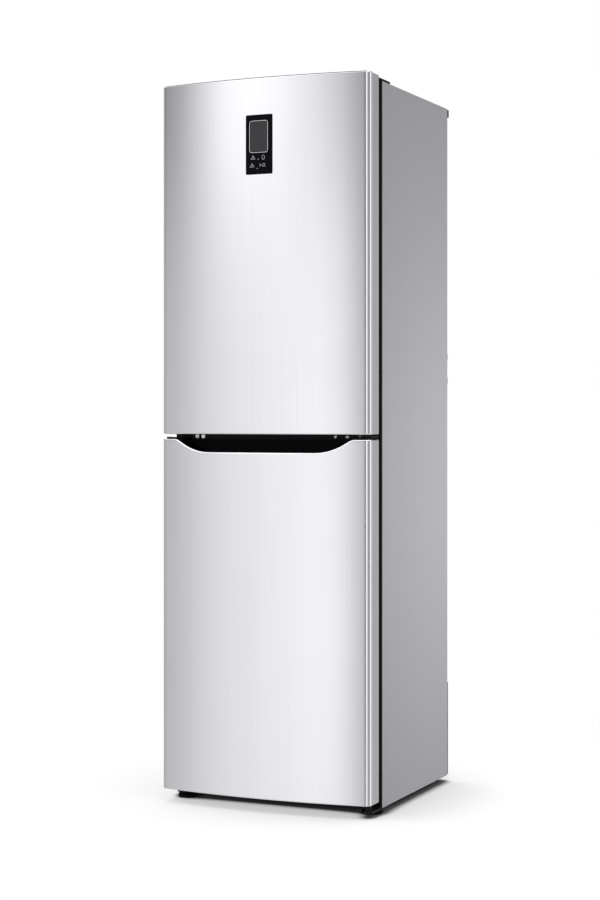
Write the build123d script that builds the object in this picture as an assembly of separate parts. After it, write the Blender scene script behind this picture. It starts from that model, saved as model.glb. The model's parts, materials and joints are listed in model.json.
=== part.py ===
from build123d import *
import os
from math import sqrt

os.makedirs("parts", exist_ok=True)

# Free-standing two-door refrigerator: fridge above, freezer below, all sizes in millimetres.
# The floor is at z 0, the doors face -Y, and both doors hinge on the viewer's right (+X).

# Overall envelope
WIDTH = 595.0
DOOR_BULGE = 26.0
DOOR_SIDE_DEPTH = 64.0
DOOR_CORNER_RADIUS = 14.0
DOOR_STANDOFF = 16.0
CABINET_DEPTH = 500.0
REAR_STANDOFF = 14.0
CABINET_BOTTOM = 16.0
DOOR_ABOVE_CABINET = 11.5

# Door heights
DOOR_BOTTOM = 35.0
FREEZER_DOOR_HEIGHT = 928.5
DOOR_SPLIT = 14.5
FRIDGE_DOOR_HEIGHT = 920.5

# Wall build-up
SHEET = 1.0
LINER = 2.0
SIDE_WALL = 50.0
TOP_WALL = 50.0
FLOOR_WALL = 60.0
BACK_WALL = 55.0
DIVIDER = 68.0
STEP_WALL = 45.0
LINER_RADIUS = 12.0
SHELL_EDGE_RADIUS = 2.0

# Machine room at the rear foot of the cabinet
MACHINE_DEPTH = 200.0
MACHINE_TOP = 290.0

# Hinge line and its running fits
HINGE_INSET = 16.0
HINGE_FROM_BACK = 30.0
PIN_RADIUS = 4.0
PIN_ENGAGEMENT = 14.0
HINGE_PLATE = 3.0
HINGE_ARM_CLEARANCE = 1.5

# Handle scoop along the top edge of the freezer door
SCOOP_END_INSET = 46.0
SCOOP_SLOPE = 59.0
SCOOP_DEPTH = 34.0
SCOOP_FLOOR_RADIUS = 152.0
SCOOP_TOP_RADIUS = 28.0

# Display panel on the fridge door
DISPLAY_WIDTH = 76.0
DISPLAY_HEIGHT = 154.0
DISPLAY_FROM_TOP = 95.0
DISPLAY_CORNER = 4.0
DISPLAY_GLASS = 4.0

# Inside fittings
BASKET_REACH = 90.0
SHELF_GAP = 15.0
CRISPER_HEIGHT = 205.0
SHELF_BAYS = 4
SHELF_GLASS = 4.0
DRAWER_SETBACK = 34.0
DRAWER_WALL = 3.0
EVAPORATOR_SPACE = 70.0

# Clearances
RUN_FIT = 0.06
SEAM = 0.2
FOAM_FIT = 0.3
SLIDE_CLEARANCE = 0.5
DOOR_CLEARANCE = 0.4
CAP_RECESS = 0.5

# Planes worked out from the driving sizes
HALF = WIDTH / 2
SCOOP_TOP_HALF = HALF - SCOOP_END_INSET
SCOOP_FLOOR_HALF = SCOOP_TOP_HALF - SCOOP_SLOPE
TOTAL_DEPTH = DOOR_BULGE + DOOR_SIDE_DEPTH + DOOR_STANDOFF + CABINET_DEPTH + REAR_STANDOFF
Y_CROWN = -TOTAL_DEPTH / 2
Y_CORNER = Y_CROWN + DOOR_BULGE
Y_DOOR_BACK = Y_CORNER + DOOR_SIDE_DEPTH
Y_FACE = Y_DOOR_BACK + DOOR_STANDOFF
Y_REAR = Y_FACE + CABINET_DEPTH
Y_MACHINE = Y_REAR - MACHINE_DEPTH
FREEZER_DOOR_TOP = DOOR_BOTTOM + FREEZER_DOOR_HEIGHT
FRIDGE_DOOR_BOTTOM = FREEZER_DOOR_TOP + DOOR_SPLIT
FRIDGE_DOOR_TOP = FRIDGE_DOOR_BOTTOM + FRIDGE_DOOR_HEIGHT
CABINET_TOP = FRIDGE_DOOR_TOP - DOOR_ABOVE_CABINET
SPLIT_MIDDLE = (FREEZER_DOOR_TOP + FRIDGE_DOOR_BOTTOM) / 2
INNER_HALF = HALF - SIDE_WALL
FREEZER_FLOOR = CABINET_BOTTOM + FLOOR_WALL
FREEZER_CEILING = SPLIT_MIDDLE - DIVIDER / 2
FRIDGE_FLOOR = SPLIT_MIDDLE + DIVIDER / 2
FRIDGE_CEILING = CABINET_TOP - TOP_WALL
INNER_BACK = Y_REAR - BACK_WALL
STEP_BACK = Y_MACHINE - STEP_WALL
STEP_FLOOR = MACHINE_TOP + STEP_WALL
HINGE_X = HALF - HINGE_INSET
HINGE_Y = Y_DOOR_BACK - HINGE_FROM_BACK
ARM_BOTTOM = FRIDGE_DOOR_TOP + HINGE_ARM_CLEARANCE
ARM_TOP = ARM_BOTTOM + HINGE_PLATE
SHELF_FRONT = Y_FACE + BASKET_REACH + SHELF_GAP
DRAWER_FRONT = Y_FACE + DRAWER_SETBACK
EVAPORATOR_COVER_Y = INNER_BACK - EVAPORATOR_SPACE
CRISPER_COVER_Z = FRIDGE_FLOOR + CRISPER_HEIGHT
SHELF_PITCH = (FRIDGE_CEILING - CRISPER_COVER_Z) / SHELF_BAYS


def block(x0, x1, y0, y1, z0, z1):
    """A box between two opposite corners."""
    low = (Align.MIN, Align.MIN, Align.MIN)
    return Pos(x0, y0, z0) * Box(x1 - x0, y1 - y0, z1 - z0, align=low)


def post(x, y, z0, z1, radius):
    """An upright round bar."""
    return Pos(x, y, (z0 + z1) / 2) * Cylinder(radius, z1 - z0)


def rod_x(x0, x1, y, z, radius):
    """A round bar lying from side to side."""
    return Pos((x0 + x1) / 2, y, z) * Rot(0, 90, 0) * Cylinder(radius, x1 - x0)


def rod_y(x, y0, y1, z, radius):
    """A round bar lying from front to back."""
    return Pos(x, (y0 + y1) / 2, z) * Rot(90, 0, 0) * Cylinder(radius, y1 - y0)


def both_sides(shape):
    """The shape and its mirror image on the other side of the cabinet."""
    return shape + mirror(shape, about=Plane.YZ)


def save(name, shape):
    """One STEP file for one separate piece or group of like pieces."""
    export_step(shape, f"parts/{name}.step")


# Cabinet shell and structure


def cabinet_shell():
    """Two side walls and the top bent from one sheet, with a flange turned in round the front."""
    shell = block(-HALF, HALF, Y_FACE, Y_REAR - SHEET, CABINET_BOTTOM, CABINET_TOP)
    shell = fillet(shell.edges().filter_by(Axis.Z).group_by(Axis.Y)[0], SHELL_EDGE_RADIUS)
    hollow_half = HALF - SHEET
    shell -= block(
        -hollow_half, hollow_half, Y_FACE + SHEET, Y_REAR, CABINET_BOTTOM - SHEET, CABINET_TOP - SHEET
    )
    mouth_half = INNER_HALF + LINER
    mouth_top = FRIDGE_CEILING + LINER
    shell -= block(
        -mouth_half, mouth_half, Y_FACE - SHEET, Y_FACE + 2 * SHEET, CABINET_BOTTOM - SHEET, mouth_top
    )
    return shell


PANEL_LAP = 12.0
LOCK_TAB_WIDTH = 10.0
LOCK_TAB_HEIGHT = 18.0
LOCK_TAB_RISE = 4.0
LOCK_TAB_LIFTS = (143.25, 210.25)


def rear_panel():
    """Flat sheet closing the back above the machine room, with lock tabs on its side edges."""
    edge = HALF - SEAM
    bottom = MACHINE_TOP - PANEL_LAP
    panel = block(-edge, edge, Y_REAR - SHEET, Y_REAR, bottom, CABINET_TOP - SEAM)
    back = Y_REAR + LOCK_TAB_RISE
    for lift in LOCK_TAB_LIFTS:
        low = SPLIT_MIDDLE + lift
        tab = block(edge - LOCK_TAB_WIDTH, edge, Y_REAR - SHEET, back, low, low + LOCK_TAB_HEIGHT)
        panel += both_sides(tab)
    return panel


def cavity(back, floor, ceiling, grow, front):
    """Rounded space of a compartment, made larger all round by grow."""
    half = INNER_HALF + grow
    space = block(-half, half, front, back + grow, floor - grow, ceiling + grow)
    mouth = space.faces().sort_by(Axis.Y)[0]
    mouth_edges = mouth.edges()
    rounded = [edge for edge in space.edges() if edge not in mouth_edges]
    return fillet(rounded, LINER_RADIUS + grow)


def fridge_cavity(grow, front):
    """Space of the fridge compartment."""
    return cavity(INNER_BACK, FRIDGE_FLOOR, FRIDGE_CEILING, grow, front)


def freezer_cavity(grow, front):
    """Space of the freezer compartment, stepped at the rear over the machine room."""
    lower = cavity(STEP_BACK, FREEZER_FLOOR, STEP_FLOOR + 3 * LINER_RADIUS, grow, front)
    upper = cavity(INNER_BACK, STEP_FLOOR, FREEZER_CEILING, grow, front)
    return lower + upper


def cabinet_foam():
    """Insulation between the shell and the two liners, stepped over the machine room."""
    half = HALF - SHEET
    front = Y_FACE + SHEET
    foam = block(-half, half, front, Y_REAR - SHEET, CABINET_BOTTOM + SHEET, CABINET_TOP - SHEET)
    foam -= block(-HALF, HALF, Y_MACHINE - SHEET, Y_REAR, CABINET_BOTTOM, MACHINE_TOP)
    foam -= fridge_cavity(LINER + FOAM_FIT, Y_FACE - SHEET)
    foam -= freezer_cavity(LINER + FOAM_FIT, Y_FACE - SHEET)
    return foam


RIB_REACH = 10.0
RIB_HEIGHT = 6.0
RIB_SETBACK = 18.0
SHELF_BACK_GAP = 24.0
SHELF_BACK = INNER_BACK - SHELF_BACK_GAP
SHELF_HEIGHTS = [CRISPER_COVER_Z + SHELF_PITCH * bay for bay in range(SHELF_BAYS)]


def fridge_liner():
    """White formed liner with a pair of support ribs for every glass shelf."""
    liner = fridge_cavity(LINER, Y_FACE) - fridge_cavity(0, Y_FACE - SHEET)
    for height in SHELF_HEIGHTS:
        rib = block(
            INNER_HALF - RIB_REACH,
            INNER_HALF + LINER / 2,
            SHELF_FRONT + RIB_SETBACK,
            SHELF_BACK - RIB_SETBACK,
            height - RIB_HEIGHT,
            height,
        )
        liner += both_sides(rib)
    return liner


RUNNER_REACH = 6.0
RUNNER_SETBACK = 20.0
DRAWER_FLOOR_GAP = 6.0
DRAWER_STEP_RISE = 8.0
UPPER_DRAWER_BACK_GAP = 12.0
LOWER_DRAWER_BACK_GAP = 16.0
DRAWER_RIM = 3.0
DRAWER_GAP = 14.0
BOTTOM_DRAWER_BASE = FREEZER_FLOOR + DRAWER_FLOOR_GAP
BOTTOM_DRAWER_TOP = STEP_FLOOR + DRAWER_STEP_RISE
UPPER_DRAWER_ROOM = (FREEZER_CEILING - BOTTOM_DRAWER_TOP) / 2
UPPER_DRAWER_HEIGHT = UPPER_DRAWER_ROOM - DRAWER_GAP
MIDDLE_DRAWER_BASE = BOTTOM_DRAWER_TOP + DRAWER_GAP / 2
TOP_DRAWER_BASE = MIDDLE_DRAWER_BASE + UPPER_DRAWER_ROOM
UPPER_DRAWER_BACK = EVAPORATOR_COVER_Y - UPPER_DRAWER_BACK_GAP
LOWER_DRAWER_BACK = STEP_BACK - LOWER_DRAWER_BACK_GAP
DRAWERS = {
    "freezer_drawer_bottom": (LOWER_DRAWER_BACK, BOTTOM_DRAWER_BASE, BOTTOM_DRAWER_TOP - DRAWER_GAP),
    "freezer_drawer_middle": (
        UPPER_DRAWER_BACK,
        MIDDLE_DRAWER_BASE,
        MIDDLE_DRAWER_BASE + UPPER_DRAWER_HEIGHT,
    ),
    "freezer_drawer_top": (UPPER_DRAWER_BACK, TOP_DRAWER_BASE, TOP_DRAWER_BASE + UPPER_DRAWER_HEIGHT),
}


def freezer_liner():
    """White formed liner with a pair of runners under the rim of every drawer."""
    liner = freezer_cavity(LINER, Y_FACE) - freezer_cavity(0, Y_FACE - SHEET)
    for back, base, top in DRAWERS.values():
        runner_top = top - DRAWER_RIM - SLIDE_CLEARANCE
        runner = block(
            INNER_HALF - RUNNER_REACH,
            INNER_HALF + LINER / 2,
            Y_FACE + RUNNER_SETBACK,
            back,
            runner_top - RIB_HEIGHT,
            runner_top,
        )
        liner += both_sides(runner)
    return liner


def divider_rail():
    """Steel cross rail between the two compartments, where both gaskets seal."""
    half = INNER_HALF + LINER - SEAM
    return block(-half, half, Y_FACE, Y_FACE + SHEET, FREEZER_CEILING + LINER, FRIDGE_FLOOR - LINER)


def base_pan():
    """Stepped bottom sheet: front rail, freezer underside, machine room wall and ceiling."""
    half = HALF - SHEET - SEAM
    rail_half = INNER_HALF + LINER - SEAM
    floor_top = CABINET_BOTTOM + SHEET
    pan = block(-rail_half, rail_half, Y_FACE, Y_FACE + SHEET, CABINET_BOTTOM, FREEZER_FLOOR - LINER)
    pan += block(-half, half, Y_FACE + SHEET, Y_MACHINE, CABINET_BOTTOM, floor_top)
    pan += block(-half, half, Y_MACHINE - SHEET, Y_MACHINE, CABINET_BOTTOM, MACHINE_TOP)
    pan += block(-half, half, Y_MACHINE - SHEET, Y_REAR - SHEET, MACHINE_TOP - SHEET, MACHINE_TOP)
    return pan


# Machine room

TRAY_SHEET = 2.0
TRAY_TOP = CABINET_BOTTOM + TRAY_SHEET
ROLLER_RADIUS = 11.0
ROLLER_WIDTH = 16.0
ROLLER_INSET = 26.0
ROLLER_FROM_REAR = 52.0
ROLLER_SLOT_GAP = 3.0
ROLLER_EDGE = 1.0
ROLLER_X = HALF - ROLLER_INSET
ROLLER_Y = Y_REAR - ROLLER_FROM_REAR
AXLE_RADIUS = 3.0
EAR_SHEET = 2.0
EAR_HALF = 8.0
EAR_BELOW_AXLE = 6.0
TRAY_FLANGE = 18.0


def compressor_base():
    """Floor tray of the machine room with folded ears and riveted axles for the rear rollers."""
    half = HALF - SHEET - SEAM
    tray = block(-half, half, Y_MACHINE, Y_REAR - SHEET - TRAY_SHEET, CABINET_BOTTOM, TRAY_TOP)
    tray += block(-half, half, Y_MACHINE, Y_MACHINE + TRAY_SHEET, CABINET_BOTTOM, TRAY_TOP + TRAY_FLANGE)
    reach = ROLLER_WIDTH / 2 + SLIDE_CLEARANCE
    slot = ROLLER_RADIUS + ROLLER_SLOT_GAP
    near = ROLLER_X - reach
    far = ROLLER_X + reach
    tray -= both_sides(block(near, far, ROLLER_Y - slot, ROLLER_Y + slot, CABINET_BOTTOM - 1, TRAY_TOP + 1))
    ear_front = ROLLER_Y - EAR_HALF
    ear_back = ROLLER_Y + EAR_HALF
    ear_low = ROLLER_RADIUS - EAR_BELOW_AXLE
    for ear_x in (near - EAR_SHEET, far):
        ear = block(ear_x, ear_x + EAR_SHEET, ear_front, ear_back, ear_low, CABINET_BOTTOM)
        tray += both_sides(ear)
    axle = rod_x(near - EAR_SHEET, far + EAR_SHEET, ROLLER_Y, ROLLER_RADIUS, AXLE_RADIUS)
    tray += both_sides(axle)
    return tray


def roller(x):
    """One rear roller, free to turn on its axle."""
    wheel = rod_x(x - ROLLER_WIDTH / 2, x + ROLLER_WIDTH / 2, ROLLER_Y, ROLLER_RADIUS, ROLLER_RADIUS)
    wheel = chamfer(wheel.edges(), ROLLER_EDGE)
    return wheel - rod_x(x - ROLLER_WIDTH, x + ROLLER_WIDTH, ROLLER_Y, ROLLER_RADIUS, AXLE_RADIUS + RUN_FIT)


COMPRESSOR_X = 40.0
COMPRESSOR_Y = Y_MACHINE + MACHINE_DEPTH / 2
COMPRESSOR_RADIUS = 76.0
COMPRESSOR_HEADROOM = 90.0
COMPRESSOR_TOP = MACHINE_TOP - COMPRESSOR_HEADROOM
DOME_RADIUS = 42.0
WELD_HALF = 2.0
WELD_RISE = 3.0
MOUNT_HEIGHT = 12.0
LEG_PLATE = 4.0
LEG_BOTTOM = TRAY_TOP + MOUNT_HEIGHT
LEG_TOP = LEG_BOTTOM + LEG_PLATE
MOUNT_SPREAD_X = 88.0
MOUNT_SPREAD_Y = 58.0
MOUNT_FOOT = 11.0
MOUNT_NECK = 6.8
MOUNT_HEAD = 9.5
MOUNT_HEAD_HEIGHT = 4.0
LEG_MARGIN = 14.0
LEG_CORNER = 12.0
TERMINAL_SINK = 20.0
TERMINAL_REACH = 34.0
TERMINAL_HALF = 26.0
TERMINAL_LIFT = 36.0
TERMINAL_HEIGHT = 70.0
TERMINAL_EDGE = 6.0
MOUNT_SPOTS = [(side, end) for side in (-1, 1) for end in (-1, 1)]


def compressor():
    """Welded compressor can on a leg plate, with a weld seam and a terminal box."""
    can = post(COMPRESSOR_X, COMPRESSOR_Y, LEG_TOP, COMPRESSOR_TOP, COMPRESSOR_RADIUS)
    can = fillet(can.edges().filter_by(GeomType.CIRCLE).sort_by(Axis.Z)[-1], DOME_RADIUS)
    weld = (LEG_TOP + COMPRESSOR_TOP) / 2
    seam_radius = COMPRESSOR_RADIUS + WELD_RISE
    can += post(COMPRESSOR_X, COMPRESSOR_Y, weld - WELD_HALF, weld + WELD_HALF, seam_radius)
    plate = block(
        COMPRESSOR_X - MOUNT_SPREAD_X - LEG_MARGIN,
        COMPRESSOR_X + MOUNT_SPREAD_X + LEG_MARGIN,
        COMPRESSOR_Y - MOUNT_SPREAD_Y - LEG_MARGIN,
        COMPRESSOR_Y + MOUNT_SPREAD_Y + LEG_MARGIN,
        LEG_BOTTOM,
        LEG_TOP,
    )
    plate = fillet(plate.edges().filter_by(Axis.Z), LEG_CORNER)
    for side, end in MOUNT_SPOTS:
        x = COMPRESSOR_X + side * MOUNT_SPREAD_X
        y = COMPRESSOR_Y + end * MOUNT_SPREAD_Y
        plate -= post(x, y, LEG_BOTTOM - 1, LEG_TOP + 1, MOUNT_NECK + SEAM)
    terminal_box = block(
        COMPRESSOR_X + COMPRESSOR_RADIUS - TERMINAL_SINK,
        COMPRESSOR_X + COMPRESSOR_RADIUS + TERMINAL_REACH,
        COMPRESSOR_Y - TERMINAL_HALF,
        COMPRESSOR_Y + TERMINAL_HALF,
        LEG_TOP + TERMINAL_LIFT,
        LEG_TOP + TERMINAL_LIFT + TERMINAL_HEIGHT,
    )
    terminal_box = fillet(terminal_box.edges().filter_by(Axis.X), TERMINAL_EDGE)
    return can + plate + terminal_box


def compressor_mounts():
    """Four rubber mounts between the tray and the leg plate."""
    mounts = []
    for side, end in MOUNT_SPOTS:
        x = COMPRESSOR_X + side * MOUNT_SPREAD_X
        y = COMPRESSOR_Y + end * MOUNT_SPREAD_Y
        mount = post(x, y, TRAY_TOP, LEG_BOTTOM, MOUNT_FOOT)
        mount += post(x, y, LEG_BOTTOM, LEG_TOP, MOUNT_NECK)
        mount += post(x, y, LEG_TOP, LEG_TOP + MOUNT_HEAD_HEIGHT, MOUNT_HEAD)
        mounts.append(mount)
    return Compound(children=mounts)


DRAIN_HALF_WIDTH = 80.0
DRAIN_HALF_DEPTH = 62.0
DRAIN_HEIGHT = 34.0
DRAIN_WALL = 2.0
DRAIN_RADIUS = 10.0


def drain_tray():
    """Tray on top of the compressor that catches and dries off the defrost water."""
    return tub(
        COMPRESSOR_X - DRAIN_HALF_WIDTH,
        COMPRESSOR_X + DRAIN_HALF_WIDTH,
        COMPRESSOR_Y - DRAIN_HALF_DEPTH,
        COMPRESSOR_Y + DRAIN_HALF_DEPTH,
        COMPRESSOR_TOP,
        COMPRESSOR_TOP + DRAIN_HEIGHT,
        DRAIN_WALL,
        DRAIN_RADIUS,
    )


COVER_RISE = 9.0
COVER_SHEET = 2.0
COVER_FLOOR_GAP = 3.0
COVER_PANEL_GAP = 2.0
COVER_CORNER = 4.0
COVER_BOTTOM = CABINET_BOTTOM + COVER_FLOOR_GAP
COVER_TOP = MACHINE_TOP - PANEL_LAP - COVER_PANEL_GAP
LOUVRE_ROWS = 8
LOUVRE_PITCH = 20.0
LOUVRE_HALF = 4.0
LOUVRE_FROM_TOP = 40.0
LOUVRE_NEAR = 60.0
LOUVRE_SIDE_INSET = 67.5
GLAND_FROM_SIDE = 87.5
GLAND_LIFT = 34.0
GLAND_X = GLAND_FROM_SIDE - HALF
GLAND_Z = CABINET_BOTTOM + GLAND_LIFT
GLAND_NECK = 7.0
GLAND_FLANGE = 11.0
GLAND_RISE = 3.0
GLAND_EDGE = 1.2
GLAND_BARREL = 3.0
GLAND_HOLE = 3.5
GLAND_HOLE_DEPTH = 2.0


def machine_cover():
    """Shallow rear cover of the machine room with two columns of air louvres."""
    edge = HALF - SEAM
    front = Y_REAR - SHEET
    back = Y_REAR + COVER_RISE
    cover = block(-edge, edge, front, back, COVER_BOTTOM, COVER_TOP)
    cover = fillet(cover.edges().filter_by(Axis.Z).group_by(Axis.Y)[-1], COVER_CORNER)
    cover -= block(
        COVER_SHEET - edge,
        edge - COVER_SHEET,
        front - 1,
        back - COVER_SHEET,
        COVER_BOTTOM + COVER_SHEET,
        COVER_TOP - COVER_SHEET,
    )
    far = HALF - LOUVRE_SIDE_INSET
    for row in range(LOUVRE_ROWS):
        low = COVER_TOP - LOUVRE_FROM_TOP - row * LOUVRE_PITCH - LOUVRE_HALF
        slot = block(LOUVRE_NEAR, far, back - 2 * COVER_SHEET, back + 1, low, low + 2 * LOUVRE_HALF)
        cover -= both_sides(slot)
    cover -= rod_y(GLAND_X, back - 2 * COVER_SHEET, back + 1, GLAND_Z, GLAND_NECK + SEAM)
    return cover


def cord_gland():
    """Bare gland in the rear cover where a supply lead would enter."""
    back = Y_REAR + COVER_RISE
    end = back + GLAND_RISE
    gland = rod_y(GLAND_X, back, end, GLAND_Z, GLAND_FLANGE)
    gland = fillet(gland.edges().sort_by(Axis.Y)[-1], GLAND_EDGE)
    gland += rod_y(GLAND_X, back - COVER_SHEET - GLAND_BARREL, back, GLAND_Z, GLAND_NECK)
    return gland - rod_y(GLAND_X, back - GLAND_HOLE_DEPTH, end + 1, GLAND_Z, GLAND_HOLE)


SPACER_WIDTH = 38.0
SPACER_HEIGHT = 20.0
SPACER_FROM_TOP = 2.0
SPACER_EDGE = 3.0


def rear_spacers():
    """Two black stand-offs on the upper rear corners."""
    high = CABINET_TOP - SPACER_FROM_TOP
    near = HALF - SPACER_WIDTH
    spacer = block(near, HALF - SEAM, Y_REAR, Y_REAR + REAR_STANDOFF, high - SPACER_HEIGHT, high)
    spacer = fillet(spacer.edges().filter_by(Axis.Z).group_by(Axis.Y)[-1], SPACER_EDGE)
    return Compound(children=[spacer, mirror(spacer, about=Plane.YZ)])


BOARD_HALF_WIDTH = 75.0
BOARD_HEIGHT = 170.0
BOARD_FROM_TOP = 60.0
BOARD_WALL_GAP = 3.0
BOARD_CORNER = 8.0
BOARD_EDGE = 2.0


def control_box():
    """Flat cover over the main control board, high on the rear panel."""
    high = CABINET_TOP - BOARD_FROM_TOP
    back = Y_REAR + REAR_STANDOFF - BOARD_WALL_GAP
    box = block(-BOARD_HALF_WIDTH, BOARD_HALF_WIDTH, Y_REAR, back, high - BOARD_HEIGHT, high)
    box = fillet(box.edges().filter_by(Axis.Y), BOARD_CORNER)
    return chamfer(box.faces().sort_by(Axis.Y)[-1].edges(), BOARD_EDGE)


# Cooling and air

FAN_FROM_CEILING = 105.0
FAN_Z = FREEZER_CEILING - FAN_FROM_CEILING
FAN_RADIUS = 46.0
FAN_OPENING = 52.0
MOTOR_RADIUS = 19.0
MOTOR_LENGTH = 24.0
SHAFT_RADIUS = 2.5
HUB_RADIUS = 15.0
HUB_LENGTH = 14.0
FAN_MOTOR_GAP = 6.0
FAN_REAR = INNER_BACK - MOTOR_LENGTH - FAN_MOTOR_GAP
PANEL_GAP = 1.0
PANEL_SHEET = 3.0
GRILLE_PITCH = 26.0
GRILLE_HALF = 2.0
AIR_SLOT_LIFTS = (40.0, 56.0, 72.0)
AIR_SLOT_NEAR = 40.0
AIR_SLOT_SIDE_INSET = 47.5
AIR_SLOT_HALF = 3.0


def evaporator_cover():
    """White rear panel of the freezer with a barred fan opening and air slots."""
    half = INNER_HALF - PANEL_GAP
    y0 = EVAPORATOR_COVER_Y
    y1 = y0 + PANEL_SHEET
    cover = block(-half, half, y0, y1, STEP_FLOOR, FREEZER_CEILING - PANEL_GAP)
    cover = fillet(cover.edges().filter_by(Axis.Y), LINER_RADIUS + PANEL_GAP)
    opening = rod_y(0, y0 - 1, y1 + 1, FAN_Z, FAN_OPENING)
    low = FAN_Z - FAN_OPENING
    high = FAN_Z + FAN_OPENING
    for bar_x in (-GRILLE_PITCH, 0, GRILLE_PITCH):
        opening -= block(bar_x - GRILLE_HALF, bar_x + GRILLE_HALF, y0 - 2, y1 + 2, low, high)
    cover -= opening
    far = INNER_HALF - AIR_SLOT_SIDE_INSET
    for lift in AIR_SLOT_LIFTS:
        middle = STEP_FLOOR + lift
        slot = block(AIR_SLOT_NEAR, far, y0 - 1, y1 + 1, middle - AIR_SLOT_HALF, middle + AIR_SLOT_HALF)
        cover -= both_sides(slot)
    return cover


COIL_GAP = 12.0
COIL_LIFT = 60.0
COIL_BELOW_FAN = 30.0
COIL_SIDE_GAP = 79.5
END_PLATE = 2.0
END_PLATE_GAP = 4.0
FIN_COUNT = 13
FIN_HALF = 0.6
FIN_TRIM = 4.0
TUBE_COUNT = 6
TUBE_RADIUS = 5.0
TUBE_MARGIN = 20.0
TUBE_OVERHANG = 16.0


def evaporator():
    """Fin-and-tube evaporator on two end plates that reach the liner's back wall."""
    y0 = EVAPORATOR_COVER_Y + COIL_GAP
    y1 = INNER_BACK - COIL_GAP
    z0 = STEP_FLOOR + COIL_LIFT
    z1 = FAN_Z - FAN_OPENING - COIL_BELOW_FAN
    span = INNER_HALF - COIL_SIDE_GAP
    plate_x = span + END_PLATE_GAP
    coil = both_sides(block(plate_x, plate_x + END_PLATE, y0, INNER_BACK, z0, z1))
    tube_pitch = (z1 - z0 - 2 * TUBE_MARGIN) / (TUBE_COUNT - 1)
    for row in range(TUBE_COUNT):
        height = z0 + TUBE_MARGIN + row * tube_pitch
        coil += rod_x(-span - TUBE_OVERHANG, span + TUBE_OVERHANG, (y0 + y1) / 2, height, TUBE_RADIUS)
    fin_pitch = 2 * span / (FIN_COUNT - 1)
    for fin in range(FIN_COUNT):
        x = -span + fin * fin_pitch
        coil += block(x - FIN_HALF, x + FIN_HALF, y0, y1, z0 + FIN_TRIM, z1 - FIN_TRIM)
    return coil


MOTOR_PLATE = 3.0
MOTOR_PLATE_HALF_WIDTH = 42.0
MOTOR_PLATE_HALF_HEIGHT = 30.0


def fan_motor():
    """Fan motor on a plate against the liner's back wall."""
    half = MOTOR_PLATE_HALF_WIDTH
    rise = MOTOR_PLATE_HALF_HEIGHT
    plate_front = INNER_BACK - MOTOR_PLATE
    motor = block(-half, half, plate_front, INNER_BACK, FAN_Z - rise, FAN_Z + rise)
    motor += rod_y(0, INNER_BACK - MOTOR_LENGTH, plate_front, FAN_Z, MOTOR_RADIUS)
    motor += rod_y(0, FAN_REAR - HUB_LENGTH, INNER_BACK - MOTOR_LENGTH, FAN_Z, SHAFT_RADIUS)
    return motor


BLADE_COUNT = 5
BLADE_ROOT = 3.0
BLADE_TWIST = 32.0
BLADE_SHEET = 1.6
BLADE_CHORD = 20.0


def evaporator_fan():
    """Five-bladed fan, free to turn on the motor shaft."""
    middle = FAN_REAR - HUB_LENGTH / 2
    fan = rod_y(0, FAN_REAR - HUB_LENGTH, FAN_REAR, FAN_Z, HUB_RADIUS)
    reach = FAN_RADIUS - HUB_RADIUS + BLADE_ROOT
    leaf = Rot(BLADE_TWIST, 0, 0) * Box(reach, BLADE_SHEET, BLADE_CHORD)
    leaf = Pos(FAN_RADIUS - reach / 2, 0, 0) * leaf
    for blade in range(BLADE_COUNT):
        fan += Pos(0, middle, FAN_Z) * Rot(0, blade * 360 / BLADE_COUNT, 0) * leaf
    return fan - rod_y(0, FAN_REAR - HUB_LENGTH - 1, FAN_REAR + 1, FAN_Z, SHAFT_RADIUS + RUN_FIT)


DUCT_HALF = 70.0
DUCT_DEPTH = 18.0
DUCT_LIFT = 24.0
DUCT_FROM_CEILING = 40.0
DUCT_EDGE = 10.0
OUTLET_SHARES = (0.42, 0.50, 0.58)
OUTLET_NEAR = 18.0
OUTLET_FAR = 52.0
OUTLET_DEPTH = 6.0
OUTLET_HALF = 3.0


def air_duct():
    """Air column on the fridge back wall with a pair of outlets for every shelf bay."""
    front = INNER_BACK - DUCT_DEPTH
    low = CRISPER_COVER_Z + DUCT_LIFT
    high = FRIDGE_CEILING - DUCT_FROM_CEILING
    duct = block(-DUCT_HALF, DUCT_HALF, front, INNER_BACK, low, high)
    duct = fillet(duct.edges().filter_by(Axis.Z).group_by(Axis.Y)[0], DUCT_EDGE)
    inner = front + OUTLET_DEPTH
    for height in SHELF_HEIGHTS:
        for share in OUTLET_SHARES:
            low = height + share * SHELF_PITCH - OUTLET_HALF
            slot = block(OUTLET_NEAR, OUTLET_FAR, front - 1, inner, low, low + 2 * OUTLET_HALF)
            duct -= both_sides(slot)
    return duct


LAMP_SIDE_GAP = 132.5
LAMP_SETBACK = 150.0
LAMP_DEPTH = 100.0
LAMP_DROP = 12.0
LAMP_CORNER = 14.0
LAMP_EDGE = 5.0


def lamp_cover():
    """Diffuser of the ceiling lamp."""
    half = INNER_HALF - LAMP_SIDE_GAP
    front = Y_FACE + LAMP_SETBACK
    lamp = block(-half, half, front, front + LAMP_DEPTH, FRIDGE_CEILING - LAMP_DROP, FRIDGE_CEILING)
    lamp = fillet(lamp.edges().filter_by(Axis.Z), LAMP_CORNER)
    return fillet(lamp.faces().sort_by(Axis.Z)[0].edges(), LAMP_EDGE)


# Shelves, crispers and freezer drawers

SHELF_SIDE_GAP = 1.5
SHELF_HALF = INNER_HALF - SHELF_SIDE_GAP
TRIM_APRON = 5.0
TRIM_BACKSTOP = 8.0
TRIM_EDGE = 2.5
TRIM_DEPTH = 14.0
TRIM_LAP = 8.0
TRIM_WALL = 3.0


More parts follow.
